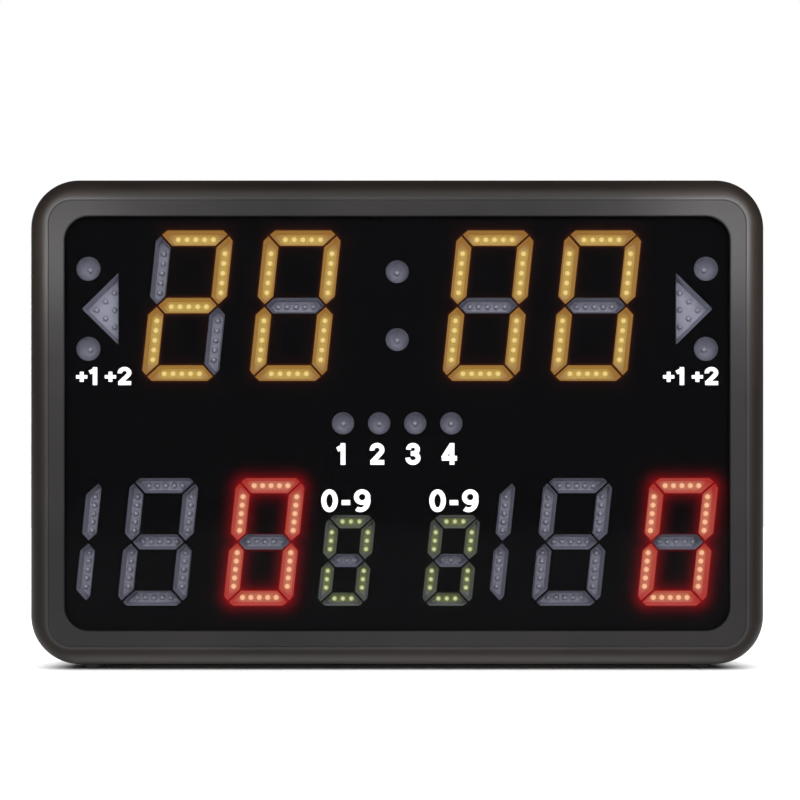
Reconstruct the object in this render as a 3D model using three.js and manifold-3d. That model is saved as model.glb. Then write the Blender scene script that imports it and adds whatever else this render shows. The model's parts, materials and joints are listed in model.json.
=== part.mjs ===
import * as THREE from "three";
import { mergeVertices } from "three/addons/utils/BufferGeometryUtils.js";
import Module from "manifold-3d";

// An indoor electronic scoreboard that stands on a table or hangs on a wall.
// Millimetres, +Z up. The display faces -Y, and the origin is the middle of its foot on the table.

const wasm = await Module();
wasm.setup();

// Fits
const fitGap = 0.3;
const overrun = 2;
const weldDistance = 0.0001;

// Digits: glyph, rows of light-emitting diodes (LEDs), how far a row's ends stay from the corners
// of the glyph's middle line, and the margin of the block round the glyph
const slant = THREE.MathUtils.degToRad(6);
const segmentGap = 1.5;
const timerDigit = {
  width: 62.7,
  height: 122.6,
  stroke: 12.7,
  corner: 8.1,
  ledCount: 5,
  endAcross: 10.6,
  endUp: 11.475,
  sideMargin: 4.2,
};
const scoreDigit = {
  width: 56.2,
  height: 103.9,
  stroke: 12.2,
  corner: 7.3,
  ledCount: 5,
  endAcross: 8.2,
  endUp: 9.125,
  sideMargin: 4.45,
};
const foulDigit = {
  width: 40.1,
  height: 73.7,
  stroke: 10.6,
  corner: 5.7,
  ledCount: 3,
  endAcross: 7.85,
  endUp: 8.875,
  sideMargin: 3.1,
};
const hundredsMargin = 1.95;
const moduleMargin = 3.5;
const moduleDepth = 9;
const wellTaper = 2.2;

// Gaps between the blocks, from the left end of each row
const timerGap = 3.8;
const colonSpace = 73.2;
const timerOffset = -4.5;
const hundredsGap = 5.3;
const scoreGap = 10.4;
const foulGap = 2;
const teamGap = 31.2;
const guestGap = 1;
const arrowGap = 8;
const rowSpace = 72.3;

// Round lamps and arrows
const lampRadius = 9.9;
const colonLampRadius = 9.4;
const colonSpacing = 55.3;
const periodLampRadius = 9.1;
const periodPitch = 29.4;
const periodCount = 4;
const periodHeightShare = 0.57;
const arrowLength = 30.1;
const arrowHalfHeight = 29.6;
const arrowDrop = 2.6;
const arrowBaseInset = 43.1;
const bonusInset = 18.4;
const bonusSpacing = 65.2;
const arrowColumns = 3;
const arrowPitchAcross = 7.3;
const arrowPitchUp = 13.9;
const arrowLedInset = 5;
const lampMargin = 3.6;

// Light-emitting diodes and their boards
const ledRadius = 2.4;
const ledHeight = 2.5;
const boardThickness = 1.6;
const boardConnectorWidth = 24;
const boardConnectorHeight = 6;
const boardConnectorDepth = 7;

// Front frame and the sheets behind its window
const windowMarginLeft = 5;
const windowMarginRight = 3.2;
const windowMarginAbove = 8.7;
const windowMarginBelow = 15;
const rollWidth = 14.5;
const rollDepth = 18;
const bandWidth = 15.5;
const bandRecess = 0.8;
const bandThickness = 2.5;
const crestRadius = 1.2;
const lipRadius = 1.3;
const caseCornerRadius = 40;
const windowCornerRadius = 20;
const bezelDepth = 46;
const bezelWall = 3;
const lensOverlap = 8;
const lensThickness = 2;
const gasketThickness = 0.8;
const gasketWidth = 5;
const maskThickness = 1.5;

// Rear shell
const shellDepth = 46;
const shellWall = 2.5;
const flangeThickness = 3;
const shellSideInset = 14;
const shellTopInset = 13.5;
const shellCornerRadius = 26;
const shellEdge = 5;
const postRadius = 4;
const bossRadius = 4.6;
const bossBite = 0.6;
const postInset = 42;

// Vents and horn grille
const ventWidth = 3.2;
const ventHeight = 26;
const ventPitch = 11;
const ventCount = 9;
const ventRows = 2;
const ventRowGap = 8;
const ventTopInset = 50;
const hornRadius = 33;
const hornDepth = 24;
const hornWall = 3;
const hornShoulder = 14.4;
const hornBackRadius = 16.5;
const hornThroatRadius = 11;
const hornX = 95;
const hornDrop = 7;
const grilleRadius = 27;
const grilleSlot = 3;
const grillePitch = 7;

// Connector recess with switch, power inlet and controller socket
const recessWidth = 120;
const recessHeight = 44;
const recessDepth = 14;
const recessX = -84;
const recessZ = 62;
const connectorPitch = 36;
const switchWidth = 15;
const switchWall = 1.4;
const switchFlange = 2;
const switchFlangeLip = 2;
const switchDepth = 18;
const rockerHalfLength = 7.8;
const rockerRise = 6;
const rockerDip = 1.4;
const rockerEdge = 2.8;
const rockerBelly = 4;
const rockerTilt = THREE.MathUtils.degToRad(8);
const inletRadius = 5.5;
const inletFlangeRadius = 8;
const inletBore = 3.2;
const inletPin = 1.2;
const inletBoreDepth = 9.5;
const inletDepth = 16;
const socketWidth = 16;
const socketHeight = 13;
const socketLip = 2.2;
const socketBoreWidth = 11.8;
const socketBoreHeight = 8.4;
const socketBoreDepth = 12;
const socketDepth = 18;

// Folding legs
const legInset = 100;
const legFootRise = 20.9;
const legWidth = 36;
const legLength = 221;
const legThickness = 9;
const legKnuckle = 5.5;
const legSwing = THREE.MathUtils.degToRad(30);
const legSetback = 1.5;
const legSideGap = 1.5;
const legFloorGap = 1.5;
const legChannelWidth = 12;
const legChannelDepth = 4;
const legChannelMargin = 22;
const legPinRadius = 2.5;
const tipHeight = 12;
const tongueWidth = 20;
const tongueThickness = 4;
const tongueHeight = 7;
const fingerRoom = 16;

// Carry handle
const handleReach = 31;
const handleInnerWidth = 116;
const handleArm = 10;
const handleThickness = 9;
const handleBevel = 1.6;
const handleCorner = 12;
const handleLift = 1.5;
const earWidth = 8;
const earRadius = 6;
const earGap = 1;
const handlePinRadius = 2;
const pinHeadRadius = 3.4;
const pinHeadHeight = 1.4;

// Wall plates with their keyholes
const plateWidth = 32;
const plateHeight = 52;
const plateThickness = 2;
const plateX = 122;
const plateTopInset = 60.5;
const keyholeRadius = 6;
const keyholeSlotWidth = 5.6;
const keyholeSlotLength = 16;
const keyholeDrop = 8;
const keyholeRoom = 8;
const plateRim = 4;

// Screws and feet
const screwRadius = 1.6;
const screwLength = 13;
const screwHeadRadius = 3.6;
const screwHeadHeight = 2.2;
const screwTipRoom = 1.6;
const screwSideSpacing = 200;
const screwTopInset = 120;
const footHeight = 3.5;
const footRadius = 9;
const footChamfer = 0.8;
const footStemRadius = 2.4;
const footInset = 50;

// Controller board
const controllerWidth = 170;
const controllerHeight = 110;
const controllerZ = 200;
const controllerSetback = 25.5;
const chipSize = 22;
const chipHeight = 2.4;
const chipPitch = 66;
const headerWidth = 12;
const headerPitch = 18;
const ribbonWidth = 20;
const ribbonThickness = 1.2;
const ribbonSpacing = 60;
const leadRadius = 1.6;
const leadRoom = 3;

// Numbers of sides and steps
const cornerSteps = 6;
const sheetSteps = 3;
const rollSteps = 6;
const roundSteps = 4;
const smallSteps = 2;
const leadSteps = 10;
const lampSides = 10;
const ledSides = 3;
const leadSides = 5;
const postSides = 6;
const roundSides = 12;
const smallSides = 8;
const screwSides = 6;

// Sizes that follow
const slope = Math.tan(slant);
const lean = (digit) => digit.height * slope;
const moduleWidthOf = (digit) => digit.width + lean(digit) + 2 * digit.sideMargin;
const moduleHeightOf = (digit) => digit.height + 2 * moduleMargin;
const hundredsModuleWidth = scoreDigit.stroke + lean(scoreDigit) + 2 * hundredsMargin;
const scoreModuleWidth = moduleWidthOf(scoreDigit);
const foulModuleWidth = moduleWidthOf(foulDigit);
const timerModuleWidth = moduleWidthOf(timerDigit);
const teamWidth = hundredsModuleWidth + hundredsGap + 2 * scoreModuleWidth + scoreGap;
const homeRowWidth = teamWidth + foulGap + foulModuleWidth;
const guestRowWidth = teamWidth + guestGap + foulModuleWidth;
const rowWidth = homeRowWidth + teamGap + guestRowWidth;
const timerModuleHeight = moduleHeightOf(timerDigit);
const scoreModuleHeight = moduleHeightOf(scoreDigit);
const nearTimerX = (colonSpace + timerModuleWidth) / 2;
const farTimerX = nearTimerX + timerModuleWidth + timerGap;
const timerReach = farTimerX + timerModuleWidth / 2 + Math.abs(timerOffset);
const arrowReach = timerReach + arrowGap + lampMargin + arrowBaseInset;
const teamsWidth = windowMarginLeft + rowWidth + windowMarginRight;
const windowWidth = Math.max(teamsWidth, 2 * arrowReach);
const windowHeight =
  windowMarginBelow + scoreModuleHeight + rowSpace + timerModuleHeight + windowMarginAbove;
const frameWidth = rollWidth + bandWidth;
const caseWidth = windowWidth + 2 * frameWidth;
const caseHeight = windowHeight + 2 * frameWidth;
const caseZ = footHeight + caseHeight / 2;
const footX = caseWidth / 2 - footInset;
const screwTopX = caseWidth / 2 - screwTopInset;
const screwInset = bezelWall + bossRadius - bossBite;
const windowBottom = footHeight + frameWidth;
const windowTop = windowBottom + windowHeight;
const scoreBottom = windowBottom + windowMarginBelow;
const timerBottom = scoreBottom + scoreModuleHeight + rowSpace;

// Depths, from the front to the back
const rearY = (bezelDepth + shellDepth) / 2;
const frontY = -rearY;
const bezelRearY = frontY + bezelDepth;
const bandY = frontY + bandRecess;
const seatY = bandY + bandThickness;
const lensY = seatY + fitGap;
const gasketY = lensY + lensThickness + fitGap;
const maskY = gasketY + gasketThickness + fitGap;
const moduleY = maskY + maskThickness + fitGap;
const boardY = moduleY + moduleDepth + fitGap;
const boardRearY = boardY + boardThickness;
const shellFrontY = bezelRearY + fitGap;
const flangeRearY = shellFrontY + flangeThickness;
const shellInnerY = rearY - shellWall;
const handleHingeY = flangeRearY + fitGap + handleThickness / 2;
const controllerY = shellInnerY - controllerSetback;
const hornZ = controllerZ - controllerHeight / 2 - hornDrop - hornRadius;
const screwSeatY = flangeRearY + fitGap;
const screwHoleY = screwSeatY - screwLength - screwTipRoom;
const leadBowY = boardRearY + boardConnectorDepth + leadRoom;

// Plastics and metals
function material(color, roughness, metalness = 0) {
  return new THREE.MeshStandardMaterial({ color, roughness, metalness });
}
const caseBlack = material(0x3a3536, 0.55);
const shellBlack = material(0x232224, 0.7);
const maskBlack = material(0x0b0b0c, 0.6);
const reflectorGrey = material(0x85858f, 0.6);
const boardWhite = material(0x9a9aa2, 0.5);
const controllerGreen = material(0x1f5135, 0.5);
const clear = material(0xdfe6ea, 0.05);
clear.transparent = true;
clear.opacity = 0.2;
const rubberBlack = material(0x161616, 0.9);
const zincSteel = material(0x9c9fa3, 0.35, 1);
const blackPlastic = material(0x171718, 0.45);
const ribbonGrey = material(0x8a8d92, 0.6);

// Points of an arc, its two ends included
function arc(centreX, centreY, radiusX, radiusY, from, to, steps) {
  return Array.from({ length: steps + 1 }, (_, i) => {
    const angle = from + ((to - from) * i) / steps;
    return new THREE.Vector2(
      centreX + radiusX * Math.cos(angle),
      centreY + radiusY * Math.sin(angle),
    );
  });
}

function circle(centreX, centreY, radius, sides) {
  return arc(centreX, centreY, radius, radius, 0, 2 * Math.PI, sides).slice(0, sides);
}

function rectangle(centreX, centreY, width, height) {
  const [w, h] = [width / 2, height / 2];
  const corners = [[-w, -h], [w, -h], [w, h], [-w, h]];
  return corners.map(([x, y]) => new THREE.Vector2(centreX + x, centreY + y));
}

function roundedRectangle(centreX, centreY, width, height, radius, steps = cornerSteps) {
  const [w, h] = [width / 2 - radius, height / 2 - radius];
  const corners = [[w, -h], [w, h], [-w, h], [-w, -h]];
  const quarter = Math.PI / 2;
  return corners.flatMap(([x, y], i) =>
    arc(centreX + x, centreY + y, radius, radius, (i - 1) * quarter, i * quarter, steps),
  );
}

// A convex outline with every side moved inwards
function inset(points, distance) {
  return points.map((point, i) => {
    const before = points[(i + points.length - 1) % points.length];
    const after = points[(i + 1) % points.length];
    const one = point.clone().sub(before).normalize();
    const two = after.clone().sub(point).normalize();
    const turn = one.x * two.y - one.y * two.x;
    const along = (distance * (1 - one.dot(two))) / turn;
    return new THREE.Vector2(
      point.x - one.y * distance - one.x * along,
      point.y + one.x * distance - one.y * along,
    );
  });
}

const moved = (points, x, y) => points.map((p) => new THREE.Vector2(p.x + x, p.y + y));
const flipped = (points, x, y) =>
  points.map((p) => new THREE.Vector2(p.x * x, p.y * y)).reverse();

// A closed solid from a list of corners and a list of triangles, turned to face outwards
function solidFrom(positions, triangles) {
  const raw = new THREE.BufferGeometry();
  raw.setAttribute("position", new THREE.Float32BufferAttribute(positions, 3));
  raw.setIndex(triangles);
  return solid(raw);
}

function solid(geometry) {
  const bare = new THREE.BufferGeometry();
  bare.setAttribute("position", geometry.getAttribute("position"));
  bare.setIndex(geometry.getIndex());
  const merged = mergeVertices(bare, weldDistance);
  const triVerts = new Uint32Array(merged.index.array);
  const vertProperties = merged.attributes.position.array;
  const made = new wasm.Manifold(new wasm.Mesh({ numProp: 3, vertProperties, triVerts }));
  if (made.volume() > 0) return made;
  triVerts.reverse();
  return new wasm.Manifold(new wasm.Mesh({ numProp: 3, vertProperties, triVerts }));
}

// Rings of equal length joined in order, with end caps, or end to end where the rings close
function loft(rings, closes = false) {
  const count = rings[0].length;
  const positions = rings.flat().flatMap((p) => [p.x, p.y, p.z]);
  const triangles = [];
  const spans = closes ? rings.length : rings.length - 1;
  for (let r = 0; r < spans; r += 1) {
    const [near, far] = [r * count, ((r + 1) % rings.length) * count];
    for (let i = 0; i < count; i += 1) {
      const j = (i + 1) % count;
      triangles.push(near + i, far + i, near + j, near + j, far + i, far + j);
    }
  }
  if (!closes) {
    const flat = rings[0].map((p) => new THREE.Vector2(p.x, p.z));
    const last = (rings.length - 1) * count;
    const cap = THREE.ShapeUtils.triangulateShape(flat, []);
    for (const [a, b, c] of cap) triangles.push(a, b, c, last + a, last + c, last + b);
  }
  return solidFrom(positions, triangles);
}

const joined = (first, others) => others.reduce((whole, piece) => whole.add(piece), first);
const cutBy = (first, others) => others.reduce((whole, piece) => whole.subtract(piece), first);

const ringAt = (points, y) => points.map((p) => new THREE.Vector3(p.x, y, p.y));

// A solid of one outline, drawn across X and Z, from one plane of Y to another
function slab(outline, nearY, farY) {
  const geometry = new THREE.ExtrudeGeometry(new THREE.Shape(outline), {
    depth: farY - nearY,
    bevelEnabled: false,
  });
  geometry.rotateX(Math.PI / 2).translate(0, farY, 0);
  return solid(geometry);
}

// A plate between two planes of Y, with openings right through it
function plate(outline, holes, nearY, farY) {
  const cuts = holes.map((hole) => slab(hole, nearY - overrun, farY + overrun));
  return cutBy(slab(outline, nearY, farY), cuts);
}

// A solid of one outline, drawn across Y and Z, centred on X
function crossSlab(outline, width) {
  const geometry = new THREE.ExtrudeGeometry(new THREE.Shape(outline), {
    depth: width,
    bevelEnabled: false,
  });
  geometry.rotateY(Math.PI / 2).rotateX(Math.PI / 2).translate(-width / 2, 0, 0);
  return solid(geometry);
}

function box(x0, x1, y0, y1, z0, z1) {
  const geometry = new THREE.BoxGeometry(x1 - x0, y1 - y0, z1 - z0);
  geometry.translate((x0 + x1) / 2, (y0 + y1) / 2, (z0 + z1) / 2);
  return solid(geometry);
}

function rodAlongX(radius, x0, x1, y, z, sides = smallSides) {
  const geometry = new THREE.CylinderGeometry(radius, radius, x1 - x0, sides);
  geometry.rotateZ(Math.PI / 2).translate((x0 + x1) / 2, y, z);
  return solid(geometry);
}

function rodAlongY(radius, x, y0, y1, z, sides = smallSides) {
  const geometry = new THREE.CylinderGeometry(radius, radius, y1 - y0, sides);
  geometry.translate(0, (y0 + y1) / 2, 0);
  return solid(geometry).translate([x, 0, z]);
}

function mesh(name, shape, look) {
  const { vertProperties, triVerts } = shape.getMesh();
  const geometry = new THREE.BufferGeometry();
  geometry.setAttribute("position", new THREE.BufferAttribute(vertProperties, 3));
  geometry.setIndex(new THREE.BufferAttribute(triVerts, 1));
  geometry.computeVertexNormals();
  const made = new THREE.Mesh(geometry, look);
  made.name = name;
  return made;
}

// The seven segments of a digit, centred on the origin and leaning to the right
function segmentsOf(digit) {
  const { width: w, height: h, stroke: t, corner: c } = digit;
  const s = segmentGap / Math.SQRT2;
  const half = h / 2;
  const chamfer = (c - s) / 2;
  const top = [
    [c + s / 2, 0],
    [w - c - s / 2, 0],
    [w - (c + s) / 2, chamfer],
    [w - t - s, t],
    [t + s, t],
    [(c + s) / 2, chamfer],
  ];
  const side = [
    [0, c + s / 2],
    [chamfer, (c + s) / 2],
    [t, t + s],
    [t, half - t / 2 - s],
    [t / 2, half - s],
    [0, half - t / 2 - s],
  ];
  const bar = [
    [t / 2 + s, half],
    [t + s, half - t / 2],
    [w - t - s, half - t / 2],
    [w - t / 2 - s, half],
    [w - t - s, half + t / 2],
    [t + s, half + t / 2],
  ];
  const upright = {};
  for (const [key, points] of Object.entries({ a: top, f: side, g: bar })) {
    const drawn = points.map(([x, y]) => new THREE.Vector2(x - w / 2, half - y));
    upright[key] = THREE.ShapeUtils.isClockWise(drawn) ? drawn.reverse() : drawn;
  }
  upright.b = flipped(upright.f, -1, 1);
  upright.e = flipped(upright.f, 1, -1);
  upright.c = flipped(upright.b, 1, -1);
  upright.d = flipped(upright.a, 1, -1);
  return upright;
}

const leaning = (points) => points.map((p) => new THREE.Vector2(p.x + p.y * slope, p.y));

// Places of a digit's LEDs, upright: a row down the middle of each segment
function ledsOf(digit, names) {
  const { width, height, stroke, ledCount, endAcross, endUp } = digit;
  const pitchAcross = (width - stroke - 2 * endAcross) / (ledCount - 1);
  const pitchUp = ((height - stroke) / 2 - 2 * endUp) / (ledCount - 1);
  const places = [];
  for (const name of names) {
    for (let i = 0; i < ledCount; i += 1) {
      const step = i - (ledCount - 1) / 2;
      const level = { a: 1, g: 0, d: -1 }[name];
      if (level === undefined) {
        const acrossSign = "bc".includes(name) ? 1 : -1;
        const upSign = "bf".includes(name) ? 1 : -1;
        const middle = (upSign * (height - stroke)) / 4;
        places.push([(acrossSign * (width - stroke)) / 2, middle + step * pitchUp]);
      } else {
        places.push([step * pitchAcross, (level * (height - stroke)) / 2]);
      }
    }
  }
  return places.map(([x, y]) => new THREE.Vector2(x, y));
}

// A display unit: its block, the openings in it and its LEDs, all centred on its own place
function digitUnit(name, digit, x, z, board, names = "abcdefg") {
  const upright = segmentsOf(digit);
  const alone = names.length < 3;
  const shift = alone ? -(digit.width - digit.stroke) / 2 : 0;
  const openings = [...names].map((key) => leaning(moved(upright[key], shift, 0)));
  const leds = leaning(moved(ledsOf(digit, names), shift, 0));
  const width = alone ? hundredsModuleWidth : moduleWidthOf(digit);
  return { name, x, z, board, openings, leds, width, height: moduleHeightOf(digit) };
}

// Round lamps, each with one LED in its middle
function lampsUnit(name, x, z, board, centres, radius) {
  const openings = centres.map(([cx, cz]) => circle(cx, cz, radius, lampSides));
  const leds = centres.map(([cx, cz]) => new THREE.Vector2(cx, cz));
  const reach = (k) => Math.max(...centres.map((centre) => Math.abs(centre[k])));
  const size = (k) => 2 * (reach(k) + radius + lampMargin);
  return { name, x, z, board, openings, leds, width: size(0), height: size(1) };
}

// The possession arrow between the two bonus lamps. Its side is 1 where it points right, else -1.
function possessionUnit(name, side, z, board) {
  const base = windowWidth / 2 - arrowBaseInset;
  const lampX = windowWidth / 2 - bonusInset;
  const near = base - lampMargin;
  const far = lampX + lampRadius + lampMargin;
  const middle = (near + far) / 2;
  const triangle = [
    new THREE.Vector2(base - middle, -arrowHalfHeight),
    new THREE.Vector2(base - middle + arrowLength, 0),
    new THREE.Vector2(base - middle, arrowHalfHeight),
  ];
  const leds = [];
  for (let column = 0; column < arrowColumns; column += 1) {
    const x = base - middle + arrowLedInset + column * arrowPitchAcross;
    for (let i = 0; i < arrowColumns - column; i += 1) {
      const step = i - (arrowColumns - 1 - column) / 2;
      leds.push(new THREE.Vector2(x, step * arrowPitchUp));
    }
  }
  const lamps = [-1, 1].map((up) => [lampX - middle, (up * bonusSpacing) / 2]);
  const openings = [triangle, ...lamps.map(([x, up]) => circle(x, up, lampRadius, lampSides))];
  leds.push(...lamps.map(([x, up]) => new THREE.Vector2(x, up)));
  return {
    name,
    x: side * middle,
    z,
    board,
    openings: side > 0 ? openings : openings.map((o) => flipped(o, -1, 1)),
    leds: side > 0 ? leds : flipped(leds, -1, 1),
    width: far - near,
    height: bonusSpacing + 2 * (lampRadius + lampMargin),
  };
}

// Every display unit with its place on the front
function layOut() {
  const units = [];
  const timerZ = timerBottom + timerModuleHeight / 2;
  const scoreZ = scoreBottom + scoreModuleHeight / 2;
  const foulZ = scoreBottom + moduleHeightOf(foulDigit) / 2;
  [-farTimerX, -nearTimerX, nearTimerX, farTimerX].forEach((x, i) => {
    units.push(digitUnit(`timer_digit_${i + 1}`, timerDigit, x + timerOffset, timerZ, "timer"));
  });
  const place = (left, width) => left + width / 2;
  const team = (name, left) => {
    const tensLeft = left + hundredsModuleWidth + hundredsGap;
    const unitsLeft = tensLeft + scoreModuleWidth + scoreGap;
    const hundredsX = place(left, hundredsModuleWidth);
    units.push(digitUnit(`${name}_hundreds`, scoreDigit, hundredsX, scoreZ, name, "bc"));
    const tensX = place(tensLeft, scoreModuleWidth);
    units.push(digitUnit(`${name}_tens`, scoreDigit, tensX, scoreZ, name));
    const unitsX = place(unitsLeft, scoreModuleWidth);
    units.push(digitUnit(`${name}_units`, scoreDigit, unitsX, scoreZ, name));
  };
  const rowLeft = windowMarginLeft - teamsWidth / 2;
  const homeFoulLeft = rowLeft + teamWidth + foulGap;
  const guestFoulLeft = homeFoulLeft + foulModuleWidth + teamGap;
  team("home", rowLeft);
  units.push(
    digitUnit("home_fouls", foulDigit, place(homeFoulLeft, foulModuleWidth), foulZ, "home"),
  );
  units.push(
    digitUnit("guest_fouls", foulDigit, place(guestFoulLeft, foulModuleWidth), foulZ, "guest"),
  );
  team("guest", guestFoulLeft + foulModuleWidth + guestGap);
  const colon = [[0, -colonSpacing / 2], [0, colonSpacing / 2]];
  units.push(lampsUnit("colon_lamps", 0, timerZ, "timer", colon, colonLampRadius));
  const periods = Array.from({ length: periodCount }, (_, i) => [
    (i - (periodCount - 1) / 2) * periodPitch,
    0,
  ]);
  const periodZ = scoreBottom + scoreModuleHeight + rowSpace * periodHeightShare;
  units.push(lampsUnit("period_lamps", 0, periodZ, "timer", periods, periodLampRadius));
  units.push(possessionUnit("home_possession", -1, timerZ - arrowDrop, "timer"));
  units.push(possessionUnit("guest_possession", 1, timerZ - arrowDrop, "timer"));
  return units;
}

// The frame outline, moved inwards: its corners tighten towards the window
function frameOutline(distance, steps = cornerSteps) {
  const share = (caseCornerRadius - windowCornerRadius) / frameWidth;
  const radius = caseCornerRadius - distance * share;
  const [width, height] = [caseWidth - 2 * distance, caseHeight - 2 * distance];
  return roundedRectangle(0, caseZ, width, height, radius, steps);
}

// Places of the case screws, across X and Z
function screwPlaces() {
  const sideX = caseWidth / 2 - screwInset;
  const topZ = footHeight + caseHeight - screwInset;
  const sides = [-1, 1].flatMap((side) =>
    [-1, 1].map((level) => [side * sideX, caseZ + (level * screwSideSpacing) / 2]),
  );
  return [...sides, [-screwTopX, topZ], [screwTopX, topZ]];
}

// Front frame: rolled edge, ridge, flat band, window lip and the seat of the lens
function frontBezel() {
  const quarter = Math.PI / 2;
  const roll = arc(rollWidth - crestRadius, frontY + rollDepth, rollWidth - crestRadius,
    rollDepth, 2 * quarter, 3 * quarter, rollSteps);
  const lip = arc(frameWidth - lipRadius, bandY + lipRadius, lipRadius, lipRadius,
    -quarter, 0, smallSteps);
  const seatInset = frameWidth - lensOverlap - bezelWall;
  const slopeStart = bezelWall + crestRadius;
  const profile = [
    new THREE.Vector2(0, bezelRearY),
    ...roll,
    new THREE.Vector2(rollWidth, frontY),
    new THREE.Vector2(rollWidth + crestRadius, bandY),
    ...lip,
    new THREE.Vector2(frameWidth, seatY),
    new THREE.Vector2(seatInset, seatY),
    new THREE.Vector2(rollWidth - crestRadius, seatY + bezelWall),
    new THREE.Vector2(slopeStart, frontY + rollDepth - bezelWall),
    new THREE.Vector2(bezelWall, frontY + rollDepth + bezelWall),
    new THREE.Vector2(bezelWall, bezelRearY),
  ];
  const frame = loft(profile.map((p) => ringAt(frameOutline(p.x), p.y)), true);
  const bosses = screwPlaces().map(([x, z]) =>
    rodAlongY(bossRadius, x, screwHoleY - bezelWall, bezelRearY, z),
  );
  const holes = screwPlaces().map(([x, z]) =>
    rodAlongY(screwRadius + fitGap, x, screwHoleY, bezelRearY + overrun, z),
  );
  const feet = [-1, 1].map((side) => footHole(side * footX, frontFootY));
  return cutBy(joined(frame, bosses), [...holes, ...feet]);
}

const frontFootY = frontY + rollDepth + footRadius + fitGap;
const rearFootY = rearY - shellEdge - footRadius - fitGap;

function footHole(x, y) {
  const geometry = new THREE.CylinderGeometry(
    footStemRadius + fitGap,
    footStemRadius + fitGap,
    bezelWall + 2 * overrun,
    smallSides,
  );
  geometry.rotateX(Math.PI / 2).translate(x, y, footHeight + bezelWall / 2);
  return solid(geometry);
}

const sheetInset = frameWidth - lensOverlap;

function lensSheet() {
  return slab(frameOutline(sheetInset, sheetSteps), lensY, lensY + lensThickness);
}

function gasketRing() {
  const hole = frameOutline(sheetInset + gasketWidth, sheetSteps);
  return plate(frameOutline(sheetInset, sheetSteps), [hole], gasketY, gasketY + gasketThickness);
}

function facePanel(units) {
  const windows = units.flatMap((unit) =>
    unit.openings.map((opening) => moved(opening, unit.x, unit.z)),
  );
  return plate(frameOutline(sheetInset, sheetSteps), windows, maskY, maskY + maskThickness);
}

// A moulded reflector block with a tapering well behind each opening
function reflector(unit) {
  const block = slab(rectangle(0, 0, unit.width, unit.height), 0, moduleDepth);
  const wells = unit.openings.map((opening) => {
    const foot = inset(opening, wellTaper);
    return loft([
      ringAt(opening, -overrun),
      ringAt(opening, 0),
      ringAt(foot, moduleDepth),
      ringAt(foot, moduleDepth + overrun),
    ]);
  });
  return cutBy(block, wells);
}

const leftOf = (unit) => unit.x - unit.width / 2;
const rightOf = (unit) => unit.x + unit.width / 2;
const topOf = (unit) => unit.z + unit.height / 2;
const bottomOf = (unit) => unit.z - unit.height / 2;

// Outline of the board behind a group of units. The timer's board reaches down to the periods.
function boardOutline(units, board) {
  const own = units.filter((unit) => unit.board === board);
  const period = own.find((unit) => unit.name === "period_lamps");
  const others = own.filter((unit) => unit !== period);
  const x0 = Math.min(...others.map(leftOf));
  const x1 = Math.max(...others.map(rightOf));
  const z0 = Math.min(...others.map(bottomOf));
  const z1 = Math.max(...others.map(topOf));
  if (!period) return rectangle((x0 + x1) / 2, (z0 + z1) / 2, x1 - x0, z1 - z0);
  const corners = [
    [x0, z0],
    [leftOf(period), z0],
    [leftOf(period), bottomOf(period)],
    [rightOf(period), bottomOf(period)],
    [rightOf(period), z0],
    [x1, z0],
    [x1, z1],
    [x0, z1],
  ];
  return corners.map(([x, z]) => new THREE.Vector2(x, z));
}

// Where each board's ribbon leaves it and where it meets the controller board
function ribbonEnds() {
  const step = controllerHeight / 2 - 2 * boardConnectorHeight;
  const scoreTop = scoreBottom + scoreModuleHeight;
  return {
    timer: { x: 0, from: timerBottom + 2 * boardConnectorHeight, to: controllerZ + step },
    home: { x: -ribbonSpacing, from: scoreTop - 3 * boardConnectorHeight, to: controllerZ - step },
    guest: { x: ribbonSpacing, from: scoreTop - 3 * boardConnectorHeight, to: controllerZ - step },
  };
}

function connectorBlock(x, y0, y1, z) {
  const [w, h] = [boardConnectorWidth / 2, boardConnectorHeight / 2];
  return box(x - w, x + w, y0, y1, z - h, z + h);
}

// A pointed LED that stands on the front of a board and has its foot inside it
function ledPeak(x, z) {
  const height = ledHeight + boardThickness / 2;
  const footRadius = (ledRadius * height) / ledHeight;
  const geometry = new THREE.ConeGeometry(footRadius, height, ledSides);
  geometry.rotateX(Math.PI).translate(x, boardY - ledHeight + height / 2, z);
  return solid(geometry);
}

function ledBoard(units, board) {
  const places = units
    .filter((unit) => unit.board === board)
    .flatMap((unit) => moved(unit.leds, unit.x, unit.z));
  const base = slab(boardOutline(units, board), boardY, boardRearY);
  const end = ribbonEnds()[board];
  const rear = boardRearY + boardConnectorDepth;
  const connector = connectorBlock(end.x, boardRearY - boardThickness / 2, rear, end.from);
  return joined(base, [connector, ...places.map((p) => ledPeak(p.x, p.y))]);
}

// Flat ribbon cable from a display board to the controller board
function ribbonCable(board) {
  const end = ribbonEnds()[board];
  const start = boardRearY + boardConnectorDepth + fitGap;
  const stop = controllerY - boardConnectorDepth - fitGap;
  const bend = new THREE.CubicBezierCurve(
    new THREE.Vector2(start, end.from),
    new THREE.Vector2((start + stop) / 2, end.from),
    new THREE.Vector2((start + stop) / 2, end.to),
    new THREE.Vector2(stop, end.to),
  );
  const path = bend.getPoints(leadSteps);
  const half = ribbonThickness / 2;
  const shifted = (sign) =>
    path.map((p, i) => {
      const heading = bend.getTangent(i / (path.length - 1));
      return new THREE.Vector2(p.x - sign * half * heading.y, p.y + sign * half * heading.x);
    });
  return crossSlab([...shifted(-1), ...shifted(1).reverse()], ribbonWidth);
}

// Round lead along a smooth curve through its points
function lead(points) {
  const curve = new THREE.CatmullRomCurve3(points.map((p) => new THREE.Vector3(...p)));
  const section = new THREE.Shape(circle(0, 0, leadRadius, leadSides));
  const settings = { steps: leadSteps, extrudePath: curve, bevelEnabled: false };
  return solid(new THREE.ExtrudeGeometry(section, settings));
}

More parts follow.
